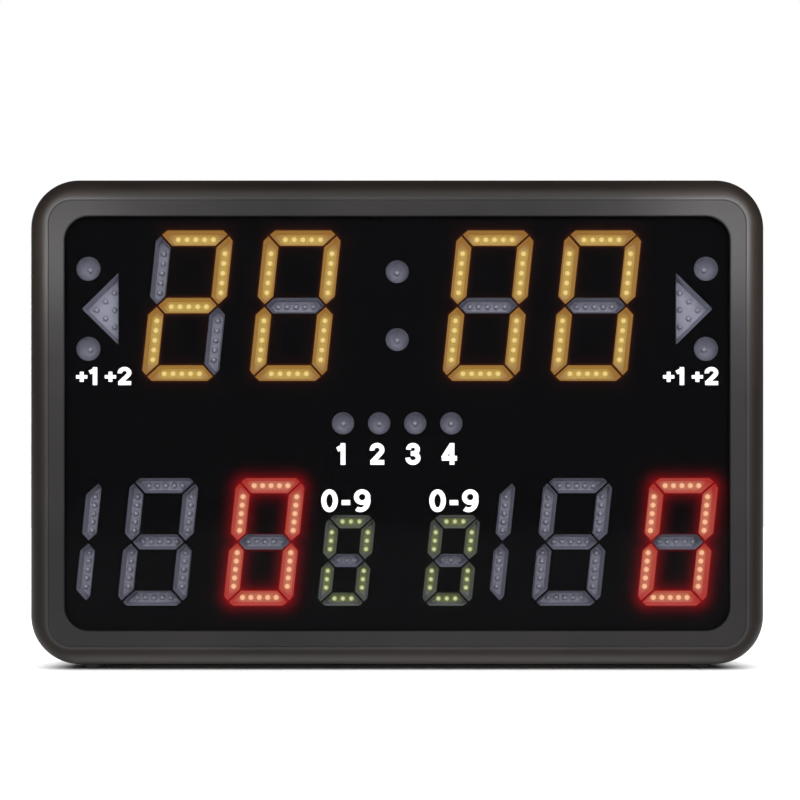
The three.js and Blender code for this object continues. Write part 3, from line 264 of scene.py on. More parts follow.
def distance_to(points, loop):
    """Each point's distance from the loop's edge, an array."""
    a = np.array(loop)
    b = np.roll(a, -1, 0)
    best = np.full(len(points), np.inf)
    for start, end in zip(a, b):
        edge = end - start
        t = np.clip((points - start) @ edge / max(edge @ edge, 1e-12), 0, 1)
        best = np.minimum(best, np.linalg.norm(points - start - t[:, None] * edge, axis=1))
    return best


# Meshes

def at_depth(points, y):
    return [(x, y, z) for x, z in points]


def walls(verts, faces, rings, closed=False):
    """Adds quads between rings of equal length."""
    count = len(rings[0])
    first = len(verts)
    for ring in rings:
        verts += ring
    spans = len(rings) if closed else len(rings) - 1
    for r in range(spans):
        near, far = first + r * count, first + (r + 1) % len(rings) * count
        faces += [(near + i, near + (i + 1) % count, far + (i + 1) % count, far + i)
                  for i in range(count)]


def face(verts, faces, outline, holes, y, extra=()):
    """Adds a flat face with holes, and with extra points in it."""
    loops = [outline, *holes]
    points, edges = [], []
    for loop in loops:
        start = len(points)
        points += loop
        edges += [(start + i, start + (i + 1) % len(loop)) for i in range(len(loop))]
    points += list(extra)
    flat, _, triangles, *_ = delaunay_2d_cdt([Vector(p) for p in points], edges, [], 1, TINY)
    flat = np.array([tuple(p) for p in flat])
    corners = np.array([tuple(t) for t in triangles])
    middles = flat[corners].mean(1)
    kept = inside(middles, outline)
    for hole in holes:
        kept &= ~inside(middles, hole)
    first = len(verts)
    verts += [(x, y, z) for x, z in flat]
    faces += [tuple(int(i) + first for i in t) for t in corners[kept]]


def plate(outline_rings, hole_rings=(), extra=()):
    """Verts and faces of a plate. A ring is (outline, y), from the front to the back."""
    verts, faces = [], []
    for end in (0, -1):
        outline, y = outline_rings[end]
        face(verts, faces, outline, [hole[end][0] for hole in hole_rings], y, () if end else extra)
    for rings in (outline_rings, *hole_rings):
        walls(verts, faces, [at_depth(points, y) for points, y in rings])
    return verts, faces


def revolved(profile, x, z, steps=28):
    """A profile of (radius, y) turned about the line along Y through (x, z)."""
    verts, faces = [], []
    walls(verts, faces, [at_depth(circle(x, z, max(radius, WELD / 2), steps), y)
                         for radius, y in profile])
    return verts, faces


def prism(outline, x, width):
    """An outline of (y, z) pushed along X, centred on x."""
    verts, faces = [], []
    walls(verts, faces, [[(px, y, z) for y, z in outline] for px in (x - width / 2, x + width / 2)])
    count = len(outline)
    faces += [tuple(range(count)), tuple(range(count, 2 * count))[::-1]]
    return verts, faces


def block(x0, x1, y0, y1, z0, z1):
    return prism([(y0, z0), (y1, z0), (y1, z1), (y0, z1)], (x0 + x1) / 2, x1 - x0)


def together(*shapes):
    """Several lists of verts and faces as one."""
    verts, faces = [], []
    for more_verts, more_faces in shapes:
        first = len(verts)
        verts += more_verts
        faces += [tuple(i + first for i in f) for f in more_faces]
    return verts, faces


def tidy_mesh(mesh, sharp=SHARP):
    """Joins doubled points, turns the faces outwards and smooths all but sharp edges."""
    bm = bmesh.new()
    bm.from_mesh(mesh)
    bmesh.ops.remove_doubles(bm, verts=bm.verts, dist=WELD * MM)
    bmesh.ops.dissolve_degenerate(bm, edges=bm.edges, dist=WELD * MM / 10)
    bmesh.ops.recalc_face_normals(bm, faces=bm.faces)
    bm.to_mesh(mesh)
    bm.free()
    mesh.shade_smooth()
    mesh.set_sharp_from_angle(angle=math.radians(sharp))


def added(name, data):
    """A new object in the scene."""
    obj = bpy.data.objects.new(name, data)
    bpy.context.scene.collection.objects.link(obj)
    return obj


def new_piece(name, shape, sharp=SHARP):
    verts, faces = shape
    mesh = bpy.data.meshes.new(name)
    mesh.from_pydata([[c * MM for c in v] for v in verts], [], faces)
    tidy_mesh(mesh, sharp)
    return added(name, mesh)


def keep(obj, look, body="root", nodes=()):
    """Gives a piece its material, its body and the nodes that it stands for; the record slot that comes
    with the material is not used.
    """
    material, slot = look
    obj.data.materials.clear()
    obj.data.materials.append(material)
    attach(obj, body)
    if nodes:
        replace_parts(obj, *nodes)
    return obj


def apply_modifiers(obj):
    depsgraph = bpy.context.evaluated_depsgraph_get()
    old = obj.data
    obj.data = bpy.data.meshes.new_from_object(obj.evaluated_get(depsgraph))
    obj.data.name = obj.name
    obj.modifiers.clear()
    bpy.data.meshes.remove(old)


def cut_out(obj, shapes):
    """Cuts each of the shapes out of a piece."""
    for shape in shapes:
        tool = new_piece("tool", shape)
        modifier = obj.modifiers.new("cut", "BOOLEAN")
        modifier.operation = "DIFFERENCE"
        modifier.solver = "EXACT"
        modifier.object = tool
        apply_modifiers(obj)
        tidy_mesh(obj.data)
        spent = tool.data
        bpy.data.objects.remove(tool)
        bpy.data.meshes.remove(spent)


def bevelled(obj, width, beyond=None):
    """Rounds a piece's edges, with its second material on them, and keeps its flat faces flat.

    With beyond, only edges that lie past that Y are rounded, at their full width.
    """
    bm = bmesh.new()
    bm.from_mesh(obj.data)
    weight = bm.edges.layers.float.new("bevel_weight_edge")
    for edge in bm.edges:
        far = beyond is None or min(v.co.y for v in edge.verts) > beyond * MM
        sharp = edge.calc_face_angle(0) > math.radians(BEVEL_FROM)
        edge[weight] = float(far and sharp)
        edge.smooth = far or not sharp
    for side in bm.faces:
        side.smooth = True
    bm.to_mesh(obj.data)
    bm.free()
    modifier = obj.modifiers.new("edges", "BEVEL")
    modifier.width = width * MM
    modifier.segments = 3
    modifier.limit_method = "WEIGHT"
    modifier.use_clamp_overlap = beyond is None
    modifier.material = 1
    weighted = obj.modifiers.new("normals", "WEIGHTED_NORMAL")
    weighted.mode = "FACE_AREA"
    weighted.weight = 80
    weighted.keep_sharp = True
    apply_modifiers(obj)


def copied(node, name):
    """A new object with a node's own shape, its flat faces made whole."""
    mesh = frame["nodes"][node].data.copy()
    mesh.name = name
    bm = bmesh.new()
    bm.from_mesh(mesh)
    bmesh.ops.remove_doubles(bm, verts=bm.verts, dist=WELD * MM)
    bmesh.ops.dissolve_limit(bm, angle_limit=math.radians(0.5), verts=bm.verts, edges=bm.edges)
    bm.to_mesh(mesh)
    bm.free()
    return added(name, mesh)


# Materials

class Look:
    """A material of one Principled node, with the helpers that give it detail."""

    def __init__(self, name, rough, metal=0.0, specular=0.5):
        self.material = bpy.data.materials.new(name)
        self.material.use_nodes = True
        self.tree = self.material.node_tree
        self.shader = self.tree.nodes["Principled BSDF"]
        for key, value in (("Roughness", rough), ("Metallic", metal), ("Specular IOR Level", specular)):
            self.shader.inputs[key].default_value = value
        self.place = self.node("TexCoord").outputs["Object"]

    def node(self, kind, values=None, **settings):
        """A new node with some values of its inputs, and with its own settings."""
        made = self.tree.nodes.new("ShaderNode" + kind)
        for key, value in settings.items():
            setattr(made, key, value)
        for key, value in (values or {}).items():
            made.inputs[key].default_value = value
        return made

    def link(self, output, target):
        self.tree.links.new(output, target)

    def noise(self, size, stretch=(1, 1, 1), detail=3.0, rough=0.55):
        """Noise of about that size in millimetres, stretched along each axis."""
        mapping = self.node("Mapping", {"Scale": [1 / (size * MM * s) for s in stretch]})
        self.link(self.place, mapping.inputs["Vector"])
        noise = self.node("TexNoise", {"Scale": 1, "Detail": detail, "Roughness": rough})
        self.link(mapping.outputs[0], noise.inputs["Vector"])
        return noise.outputs["Fac"]

    def ramp(self, factor, low, high, start=0.35, end=0.65):
        """Goes from the colour low to high as the factor goes from start to end."""
        ramp = self.node("ValToRGB")
        for element, at, colour in zip(ramp.color_ramp.elements, (start, end), (low, high)):
            element.position = at
            element.color = (*colour, 1)
        self.link(factor, ramp.inputs["Fac"])
        return ramp.outputs["Color"]

    def span(self, factor, low, high, start=0.3, end=0.7):
        between = self.node("MapRange", {"From Min": start, "From Max": end, "To Min": low, "To Max": high})
        self.link(factor, between.inputs["Value"])
        return between.outputs["Result"]

    def blend(self, factor, one, two, how="MIX"):
        """Mixes two colours; a plain number as factor is a share of the second."""
        mix = self.node("Mix", data_type="RGBA", blend_type=how)
        if isinstance(factor, (int, float)):
            mix.inputs["Factor"].default_value = factor
        else:
            self.link(factor, mix.inputs["Factor"])
        self.link(one, mix.inputs[6])
        self.link(two, mix.inputs[7])
        return mix.outputs[2]

    def attribute(self, name, output="Color"):
        return self.node("Attribute", attribute_name=name).outputs[output]

    def bump(self, *heights):
        """Bumps of (factor, height in millimetres), one on the other."""
        normal = None
        for factor, height in heights:
            bump = self.node("Bump", {"Strength": 1, "Distance": height * MM})
            self.link(factor, bump.inputs["Height"])
            if normal:
                self.link(normal, bump.inputs["Normal"])
            normal = bump.outputs["Normal"]
        self.link(normal, self.shader.inputs["Normal"])

    def colour(self, output):
        self.link(output, self.shader.inputs["Base Color"])

    def rough(self, output):
        self.link(output, self.shader.inputs["Roughness"])

    def glow(self, output):
        """Gives off the light of output, which no lamp sampling looks for."""
        self.link(output, self.shader.inputs["Emission Color"])
        self.shader.inputs["Emission Strength"].default_value = 1
        self.material.cycles.emission_sampling = "NONE"


def shades(colour, spread):
    """The colour a little darker and a little lighter."""
    base = np.array(colour)
    return tuple(base * (1 - spread)), tuple(base * (1 + spread))


def moulded(name, colour, rough, grain=0.35, height=0.012, spread=0.12, specular=0.5):
    """Moulded plastic: fine grain, slow changes of tone and gloss."""
    look = Look(name, rough, specular=specular)
    cloud = look.noise(60, detail=4)
    speck = look.noise(grain, detail=2)
    tone = look.ramp(cloud, *shades(colour, spread))
    fine = look.ramp(speck, (0.82, 0.82, 0.82), (1, 1, 1))
    look.colour(look.blend(1.0, tone, fine, "MULTIPLY"))
    look.rough(look.span(cloud, rough - 0.05, rough + 0.05))
    look.bump((speck, height), (look.noise(9, detail=1), 0.02))
    return look.material


def rubber(name):
    look = Look(name, 0.85, specular=0.3)
    dust = look.noise(5, detail=5, rough=0.7)
    look.colour(look.ramp(dust, (0.012, 0.012, 0.012), (0.045, 0.043, 0.041), 0.45, 0.8))
    look.rough(look.span(dust, 0.78, 0.95))
    look.bump((look.noise(0.5), 0.03))
    return look.material


def metal(name, colour):
    """Brushed metal with a cloudy bloom."""
    look = Look(name, 0.35, metal=1.0)
    brushed = look.noise(0.6, stretch=(14, 14, 1), detail=4)
    bloom = look.noise(7, detail=4)
    tone = look.ramp(bloom, *shades(colour, 0.2))
    look.colour(look.blend(0.35, tone, look.ramp(brushed, *shades(colour, 0.45))))
    look.rough(look.span(brushed, 0.28, 0.48))
    look.bump((brushed, 0.006))
    return look.material


def lit_plastic(name, colour, rough, size, height, spread, specular=0.5):
    """Plastic of a well or board, lit by the diodes, with painted light and shade in its colour, as the
    mesh's attributes say.
    """
    look = Look(name, rough, specular=specular)
    speck = look.noise(size, detail=4, rough=0.7)
    tone = look.ramp(speck, *shades(colour, spread), 0.3, 0.7)
    look.colour(look.blend(1.0, tone, look.attribute("painted_tint"), "MULTIPLY"))
    grain = look.ramp(speck, (0.86, 0.86, 0.86), (1.12, 1.12, 1.12), 0.3, 0.7)
    look.glow(look.blend(1.0, look.attribute("glow"), grain, "MULTIPLY"))
    look.rough(look.span(speck, rough - 0.1, rough + 0.1))
    look.bump((speck, height))
    return look.material


def diode(name, colour, light=None):
    """A dome whose light is strongest at its top. The attribute says how near a point is to it."""
    look = Look(name, 0.4, specular=0.25)
    swirl = look.noise(0.7, detail=2)
    look.colour(look.ramp(swirl, *shades(colour, 0.15)))
    if light:
        start = light["core"]
        look.glow(look.ramp(look.attribute("core", "Fac"), light["edge"], light["dome"],
                            start, start + CORE_SPAN))
    look.rough(look.span(swirl, 0.34, 0.5))
    return look.material


def clear_sheet(name):
    """Clear acrylic: light goes straight through, less what its polished faces mirror."""
    look = Look(name, 0.04)
    look.tree.nodes.remove(look.shader)
    haze = look.noise(50, detail=4)
    through = look.node("BsdfTransparent", {"Color": (0.97, 0.97, 0.98, 1)})
    mirror = look.node("BsdfGlossy")
    look.link(look.span(haze, 0.03, 0.09), mirror.inputs["Roughness"])
    fresnel = look.node("Fresnel", {"IOR": 1.06})
    mix = look.node("MixShader")
    for i, part in enumerate((fresnel, through, mirror)):
        look.link(part.outputs[0], mix.inputs[i])
    look.link(mix.outputs[0], look.tree.nodes["Material Output"].inputs["Surface"])
    return look.material


# Paler colour painted along the frame's crest: a painted highlight
PAINTED_CREST_HIGHLIGHT = (0.0155, 0.0148, 0.0148)


def frame_plastic(name, colour, rough, specular):
    """Moulded plastic of the front frame, paler along its crest: a painted highlight."""
    look = Look(name, rough, specular=specular)
    crest = look.attribute("crest", "Fac")
    cloud = look.noise(80, detail=4)
    speck = look.noise(0.45, detail=2)
    plain = look.ramp(cloud, *shades(colour, 0.16))
    # The painted highlight along the crest
    crest_highlight = look.ramp(cloud, *shades(PAINTED_CREST_HIGHLIGHT, 0.25))
    fine = look.ramp(speck, (0.85, 0.85, 0.85), (1, 1, 1))
    look.colour(look.blend(1.0, look.blend(crest, plain, crest_highlight), fine, "MULTIPLY"))
    look.rough(look.span(cloud, rough - 0.04, rough + 0.04))
    look.bump((speck, 0.008), (look.noise(14, detail=1), 0.02))
    return look.material


LOOKS = {
    "front_case": frame_plastic("front_case", (0.0118, 0.0109, 0.0114), 0.5, 0.08),
    "rear_case": moulded("rear_case", (0.022, 0.0215, 0.022), 0.6, 1.1, 0.16, 0.2, 0.35),
    "black_plastic": moulded("black_plastic", (0.009, 0.009, 0.01), 0.4, 0.3, 0.008),
    "rocker": moulded("rocker", (0.006, 0.006, 0.007), 0.2, 0.4, 0.002),
    "handle": moulded("handle", (0.014, 0.014, 0.015), 0.55, 0.5, 0.03, specular=0.3),
    "leg": moulded("leg", (0.013, 0.013, 0.014), 0.55, 0.8, 0.06, specular=0.35),
    "seal": rubber("seal"),
    "rubber": rubber("rubber"),
    "lead": rubber("lead"),
    "steel": metal("steel", (0.4, 0.4, 0.41)),
    "ribbon": moulded("ribbon", (0.32, 0.33, 0.35), 0.5, 1.2, 0.05),
    "circuit_board": moulded("circuit_board", (0.02, 0.11, 0.045), 0.35, 1.5, 0.02),
    "mask": lit_plastic("mask", (0.0021, 0.0021, 0.0023), 0.7, 0.5, 0.002, 0.2, 0.0),
    "reflector": lit_plastic("reflector", (0.096, 0.097, 0.122), 0.6, 0.9, 0.05, 0.16, 0.25),
    "display_board": lit_plastic("display_board", (0.095, 0.096, 0.12), 0.55, 0.8, 0.05, 0.3, 0.25),
    "lens": clear_sheet("lens"),
}
# A darker, browner copy of the frame's plastic for the rolled edge: painted shade where the roll turns away
# from the lights, with a little more gloss
ROLLED_EDGE = frame_plastic("rolled_edge", (0.0068, 0.0047, 0.0038), 0.48, 0.14)
RUBBED_EDGE = moulded("rubbed_edge", (0.045, 0.044, 0.044), 0.5, 0.6, 0.01, 0.5)
WHITE_INK = moulded("white_ink", (0.86, 0.86, 0.86), 0.5, 0.4, 0.004, 0.04)
GOLD = metal("contact_gold", (0.75, 0.52, 0.2))
DIODES = {"": diode("diode_off", (0.128, 0.129, 0.155)),
          **{key: diode(f"diode_{key}", light["edge"] * DOME_TINT, light) for key, light in GLOW.items()}}


def look_of(slot):
    return LOOKS[slot], slot


# Display units

def segments(digit):
    """The seven openings of a digit, leaning, centred on the origin, anticlockwise."""
    w, h, t, c = (digit[k] for k in ("width", "height", "stroke", "corner"))
    s = SEGMENT_GAP / math.sqrt(2)
    half, cut = h / 2, (c - s) / 2
    top = [(c + s / 2, 0), (w - c - s / 2, 0), (w - (c + s) / 2, cut), (w - t - s, t),
           (t + s, t), ((c + s) / 2, cut)]
    side = [(0, c + s / 2), (cut, (c + s) / 2), (t, t + s), (t, half - t / 2 - s),
            (t / 2, half - s), (0, half - t / 2 - s)]
    bar = [(t / 2 + s, half), (t + s, half - t / 2), (w - t - s, half - t / 2),
           (w - t / 2 - s, half), (w - t - s, half + t / 2), (t + s, half + t / 2)]
    made = {key: [(x - w / 2, half - y) for x, y in points]
            for key, points in (("a", top), ("f", side), ("g", bar))}
    made["b"] = flipped(made["f"], -1, 1)
    made["e"] = flipped(made["f"], 1, -1)
    made["c"] = flipped(made["b"], 1, -1)
    made["d"] = flipped(made["a"], 1, -1)
    return {key: anticlockwise([(x + z * SLOPE, z) for x, z in points])
            for key, points in made.items()}


def diodes_of(digit, name):
    """Places of the diodes of one segment."""
    across, up = digit["width"] - digit["stroke"], digit["height"] - digit["stroke"]
    steps = [i - (digit["leds"] - 1) / 2 for i in range(digit["leds"])]
    level = {"a": 1, "g": 0, "d": -1}.get(name)
    if level is None:
        x = across / 2 if name in "bc" else -across / 2
        middle = up / 4 if name in "bf" else -up / 4
        places = [(x, middle + step * digit["up"]) for step in steps]
    else:
        places = [(step * digit["across"], level * up / 2) for step in steps]
    return [(x + z * SLOPE, z) for x, z in places]


def box_of(node):
    """A node's lowest and highest corners in millimetres."""
    low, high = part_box(node)
    return low / MM, high / MM


def centre_of(node):
    low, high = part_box(node)
    return (low.x + high.x) / 2 / MM, (low.z + high.z) / 2 / MM


def digit_wells(node, digit, colour, names="abcdefg"):
    """Wells of a digit: (outline, diodes, colour of its light or nothing)."""
    x, z = centre_of(node)
    shift = 0 if len(names) > 2 else -(digit["width"] - digit["stroke"]) / 2
    lit = GLYPHS.get(SHOWN.get(node), "")
    outlines = segments(digit)
    return [(softened(moved(outlines[n], x + shift, z)), moved(diodes_of(digit, n), x + shift, z),
             colour if n in lit else "") for n in names]


def lamp_wells(centres, radius):
    """Round wells, each with one diode in its middle."""
    return [(circle(x, z, radius), [(x, z)], "") for x, z in centres]


def possession_wells(node, side):
    """An arrow pointing outwards between two bonus lamps."""
    low, high = box_of(node)
    _, z = centre_of(node)
    base = (low.x if side > 0 else high.x) + side * LAMP_MARGIN
    outline = [(base, z - ARROW_HALF), (base + side * ARROW_LENGTH, z), (base, z + ARROW_HALF)]
    places = [(base + side * (ARROW_LED_INSET + column * ARROW_ACROSS),
               z + (i - (2 - column) / 2) * ARROW_UP)
              for column in range(3) for i in range(3 - column)]
    lamp_x = (high.x if side > 0 else low.x) - side * (LAMP_MARGIN + BONUS_RADIUS)
    lamps = [(lamp_x, low.z + LAMP_MARGIN + BONUS_RADIUS), (lamp_x, high.z - LAMP_MARGIN - BONUS_RADIUS)]
    return [(softened(anticlockwise(outline), ARROW_ROUND), places, ""),
            *lamp_wells(lamps, BONUS_RADIUS)]


def all_wells():
    """Every unit's wells by its node's name."""
    wells = {f"timer_digit_{i}": digit_wells(f"timer_digit_{i}", TIMER, "amber") for i in range(1, 5)}
    for team in ("home", "guest"):
        hundreds = f"{team}_hundreds"
        wells[hundreds] = digit_wells(hundreds, SCORE, "red", "bc")
        for column in ("tens", "units"):
            wells[f"{team}_{column}"] = digit_wells(f"{team}_{column}", SCORE, "red")
        wells[f"{team}_fouls"] = digit_wells(f"{team}_fouls", FOUL, "green")
    low, high = box_of("colon_lamps")
    x, _ = centre_of("colon_lamps")
    reach = LAMP_MARGIN + COLON_RADIUS
    wells["colon_lamps"] = lamp_wells([(x, low.z + reach), (x, high.z - reach)], COLON_RADIUS)
    x, z = centre_of("period_lamps")
    periods = [(x + (i - 1.5) * PERIOD_PITCH, z) for i in range(4)]
    wells["period_lamps"] = lamp_wells(periods, PERIOD_RADIUS)
    wells["home_possession"] = possession_wells("home_possession", -1)
    wells["guest_possession"] = possession_wells("guest_possession", 1)
    return wells


BOARDS = {
    "timer_board": [f"timer_digit_{i}" for i in range(1, 5)]
    + ["colon_lamps", "period_lamps", "home_possession", "guest_possession"],
    "home_board": ["home_hundreds", "home_tens", "home_units", "home_fouls"],
    "guest_board": ["guest_hundreds", "guest_tens", "guest_units", "guest_fouls"],
}


def paint(obj, glow, painted_tint):
    """Stores the light and the painted tint of each vertex: painted light and shade in its colour."""
    for name, values in (("glow", glow), ("painted_tint", painted_tint)):
        attribute = obj.data.attributes.new(name, "FLOAT_COLOR", "POINT")
        full = np.ones((len(obj.data.vertices), 4), np.float32)
        full[:, :3] = values
        attribute.data.foreach_set("color", full.ravel())


def vertices_of(obj):
    co = np.empty(len(obj.data.vertices) * 3)
    obj.data.vertices.foreach_get("co", co)
    return co.reshape(-1, 3) / MM


def well_light(points, wells, reach):
    """Light and painted tint of points in or round the wells: even over a well, and stronger by a diode.
    The tint paints a lit well's colour with its diode's light, and paints unlit lamps darker and arrows
    paler.
    """
    glow = np.zeros((len(points), 3))
    painted_tint = np.ones((len(points), 3))
    flat = points[:, (0, 2)]
    for outline, places, colour in wells:
        shade = UNLIT_PAINTED_SHADING.get(len(places))
        if not colour and not shade:
            continue
        at = inside(flat, outline) | (distance_to(flat, outline) < reach)
        if not colour:
            # Painted shade on an unlit lamp, painted paleness on an unlit arrow
            painted_tint[at] = shade
            continue
        light = GLOW[colour]
        near = np.zeros(len(points))
        for place in places:
            near += np.exp(-(np.linalg.norm(flat - np.array(place), axis=1) / light["spread"]) ** 2)
        near = np.minimum(near, 1)[at, None]
        even, painted_far_share = light["even"], light["painted_far_share"]
        glow[at] = light["well"] * (even + (1 - even) * near) + light["near"] * near
        # Painted light: the well's colour tinted by its diode's light, most close to a diode
        painted_tint[at] = 1 + (np.array(light["painted_tint"]) - 1) * (painted_far_share + (1 - painted_far_share) * near)
    return glow, painted_tint


def bowl(well, front, deep):
    """Rings of a round reflector bowl that narrows to the diode at its foot."""
    radius = (max(x for x, _ in well) - min(x for x, _ in well)) / 2 - MOUTH_INSET
    last = math.acos(BOWL_FLOOR / radius)
    turns = [last * (i + 1) / BOWL_RINGS for i in range(BOWL_RINGS)]
    return [(inset(well, MOUTH_INSET + radius * (1 - math.cos(turn))),
             front + deep * math.sin(turn) / math.sin(last)) for turn in turns]


def reflector(node, wells):
    """The moulded block of a unit, its wells with rounded mouths, tapering walls or round bowls."""
    low, high = box_of(node)
    x, z = centre_of(node)
    outline = rounded(x, z, high.x - low.x, high.z - low.z, BLOCK_ROUND, 4)
    deep = high.y - low.y - MOUTH_DEPTH
    holes = []
    for well, places, _ in wells:
        rings = [(well, low.y), (inset(well, MOUTH_INSET), low.y + MOUTH_DEPTH)]
        if len(places) == 1:
            rings += bowl(well, low.y + MOUTH_DEPTH, deep)
        else:
            rings += [(inset(well, MOUTH_INSET + WELL_TAPER * share), low.y + MOUTH_DEPTH + deep * share)
                      for share in TAPER_SHARES]
        holes.append(rings)
    obj = new_piece(f"{node}_block", plate([(outline, low.y), (outline, high.y)], holes), 30)
    points = vertices_of(obj)
    paint(obj, *well_light(points, wells, LIGHT_MARGIN))
    return keep(obj, look_of("reflector"), nodes=[node])


def well_points(outline, places, step):
    """A grid of points over a well, with rings round its diodes."""
    xs, zs = zip(*outline)
    grid = [(x, z) for x in np.arange(min(xs), max(xs), step) for z in np.arange(min(zs), max(zs), step)]
    grid = np.array(grid)
    grid = grid[inside(grid, outline) & (distance_to(grid, outline) > step / 3)]
    far = np.ones(len(grid), bool)
    rings = []
    for x, z in places:
        far &= np.hypot(grid[:, 0] - x, grid[:, 1] - z) > LED_RADIUS + step
        rings += circle(x, z, LED_RADIUS + step / 2, 10)
    return [tuple(p) for p in grid[far]] + rings


def board(node, units, wells):
    """A display board, fine enough under each well to carry the diodes' light."""
    low, high = box_of(node)
    boxes = [box_of(unit) for unit in units if unit != "period_lamps"]
    x0, x1 = min(b[0].x for b in boxes), max(b[1].x for b in boxes)
    z0, z1 = min(b[0].z for b in boxes), max(b[1].z for b in boxes)
    outline = [(x0, z0), (x1, z0), (x1, z1), (x0, z1)]
    if "period_lamps" in units:
        a, b = box_of("period_lamps")
        outline[1:1] = [(a.x, z0), (a.x, a.z), (b.x, a.z), (b.x, z0)]
    front = low.y + LED_HEIGHT
    rear = front + BOARD_THICKNESS
    own = [well for unit in units for well in wells[unit]]
    extra = [p for well, places, _ in own for p in well_points(well, places, GRID_STEP)]
    x, z = connector_place(node)
    wide, tall = CONNECTOR_HALVES
    connector = block(x - wide, x + wide, rear, high.y, z - tall, z + tall)
    sheet = plate([(outline, front), (outline, rear)], (), extra)
    obj = new_piece(f"{node}_sheet", together(sheet, connector), 30)
    paint(obj, *well_light(vertices_of(obj), own, LIGHT_MARGIN))
    return keep(obj, look_of("display_board"), nodes=[node])


def connector_place(node):
    """Middle of the board's rear connector, which the ribbon's front end meets."""
    low, high = box_of(node.replace("board", "ribbon"))
    upper = node == "timer_board"
    return (low.x + high.x) / 2, (low.z + CONNECTOR_INSET if upper else high.z - CONNECTOR_INSET)


def domes(name, places, colour, y):
    """Round diode domes on a board, all of one colour."""
    verts, faces = [], []
    profile = [(1, -0.1), *((math.cos(math.radians(a)), math.sin(math.radians(a))) for a in DOME_ANGLES)]
    for x, z in places:
        first = len(verts)
        walls(verts, faces, [at_depth(circle(x, z, LED_RADIUS * out, DOME_SIDES), y - LED_HEIGHT * up)
                             for out, up in profile])
        faces.append(tuple(range(len(verts) - DOME_SIDES, len(verts))))
        faces.append(tuple(range(first, first + DOME_SIDES))[::-1])
    obj = new_piece(name, (verts, faces), 60)
    core = obj.data.attributes.new("core", "FLOAT", "POINT")
    core.data.foreach_set("value", np.clip((y - vertices_of(obj)[:, 1]) / LED_HEIGHT, 0, 1))
    return keep(obj, (DIODES[colour], "display_board"))


def make_display(wells):
    for node, own in wells.items():
        reflector(node, own)
    for node, units in BOARDS.items():
        board(node, units, wells)
        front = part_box(node)[0].y / MM + LED_HEIGHT
        for unit in units:
            for colour in ("", *GLOW):
                places = [p for _, spots, tone in wells[unit] if tone == colour for p in spots]
                if places:
                    domes(f"{unit}_diodes_{colour or 'off'}", places, colour, front)


# Front frame, mask, numerals

def frame_radius(distance):
    """Corner radius of the frame's loop that lies so far in from the outer edge."""
    return np.interp(distance, (0, ROLL_WIDTH, FRAME_WIDTH), (CASE_RADIUS, RIDGE_RADIUS, WINDOW_RADIUS))


def frame_middle(distance):
    """Height of that loop's middle: the ridge and the window sit a little below the case's middle."""
    low, high = box_of("front_bezel")
    return (low.z + high.z) / 2 - np.interp(distance, (WALL, ROLL_WIDTH), (0, WINDOW_DROP))


def frame_outline(distance, steps=28):
    low, high = box_of("front_bezel")
    return rounded(0, frame_middle(distance), high.x - low.x - 2 * distance,
                   high.z - low.z - 2 * distance, float(frame_radius(distance)), steps)


def frame_distance(points):
    """How far in from the outer edge the loop of the frame lies that each point is on."""
    low, high = box_of("front_bezel")
    half = np.array([(high.x - low.x) / 2, (high.z - low.z) / 2])
    least, most = np.zeros(len(points)), np.full(len(points), FRAME_WIDTH)
    for _ in range(16):
        distance = (least + most) / 2
        radius = frame_radius(distance)
        middle = np.stack([np.zeros(len(points)), frame_middle(distance)], 1)
        side = half - np.abs(points[:, (0, 2)] - middle)
        corner = np.maximum((distance + radius)[:, None] - side, 0)
        further_in = np.linalg.norm(corner, axis=1) < radius
        least, most = np.where(further_in, distance, least), np.where(further_in, most, distance)
    return most


def bezel():
    """Rolled edge, rounded ridge, flat band and window lip, with a closed back."""
    low, high = box_of("front_bezel")
    front, rear = low.y, high.y
    band = front + BAND_RECESS
    seat = band + BAND_THICKNESS
    roll = arc(ROLL_WIDTH - CREST, front + ROLL_DEPTH, ROLL_WIDTH - CREST, ROLL_DEPTH, 2, 3, 26)
    ridge = arc(ROLL_WIDTH, front + CREST, CREST, CREST, 3, 3.75, 6)
    wide, deep = BAND_FILLET
    fillet = arc(ROLL_WIDTH + 2 * CREST, band - deep, wide, deep, 2, 1, 5)
    lip = arc(FRAME_WIDTH - LIP, band + LIP, LIP, LIP, 3, 4, 8)
    profile = [(0, rear), *roll, *ridge[1:], *[(x, y) for x, y in fillet if y > ridge[-1][1]],
               *lip, (FRAME_WIDTH, seat),
               (FRAME_WIDTH - LENS_OVERLAP - WALL, seat), (ROLL_WIDTH - CREST, seat + WALL),
               (WALL + CREST, front + ROLL_DEPTH - WALL), (WALL, front + ROLL_DEPTH + WALL),
               (WALL, rear)]
    verts, faces = [], []
    walls(verts, faces, [at_depth(frame_outline(x), y) for x, y in profile], closed=True)
    obj = keep(new_piece("front_frame", (verts, faces), 40), look_of("front_case"),
               nodes=["front_bezel"])
    points = vertices_of(obj)
    away = frame_distance(points)
    # Where the painted highlight along the crest lies, and its strength at each point of the front
    crest_highlight = ROLL_WIDTH - CREST / 4
    crest = np.exp(-((away - crest_highlight) / CREST) ** 2) * (points[:, 1] < front + 2 * CREST)
    attribute = obj.data.attributes.new("crest", "FLOAT", "POINT")
    attribute.data.foreach_set("value", crest)
    # The rolled edge takes that darker copy, its painted shade
    obj.data.materials.append(ROLLED_EDGE)
    for polygon in obj.data.polygons:
        if away[list(polygon.vertices)].mean() < ROLL_WIDTH:
            polygon.material_index = 1


def halo(flat, wells):
    """The light that spills over the mask round each lit well."""
    glow = np.zeros((len(flat), 3))
    for outline, _, colour in wells:
        if colour:
            light = GLOW[colour]
            away = distance_to(flat, outline)
            glow += np.exp(-away / light["reach"])[:, None] * light["halo"]
            glow += np.exp(-(away / FAR_REACH) ** 2)[:, None] * light["far"] * FAR_SHARE
    return glow


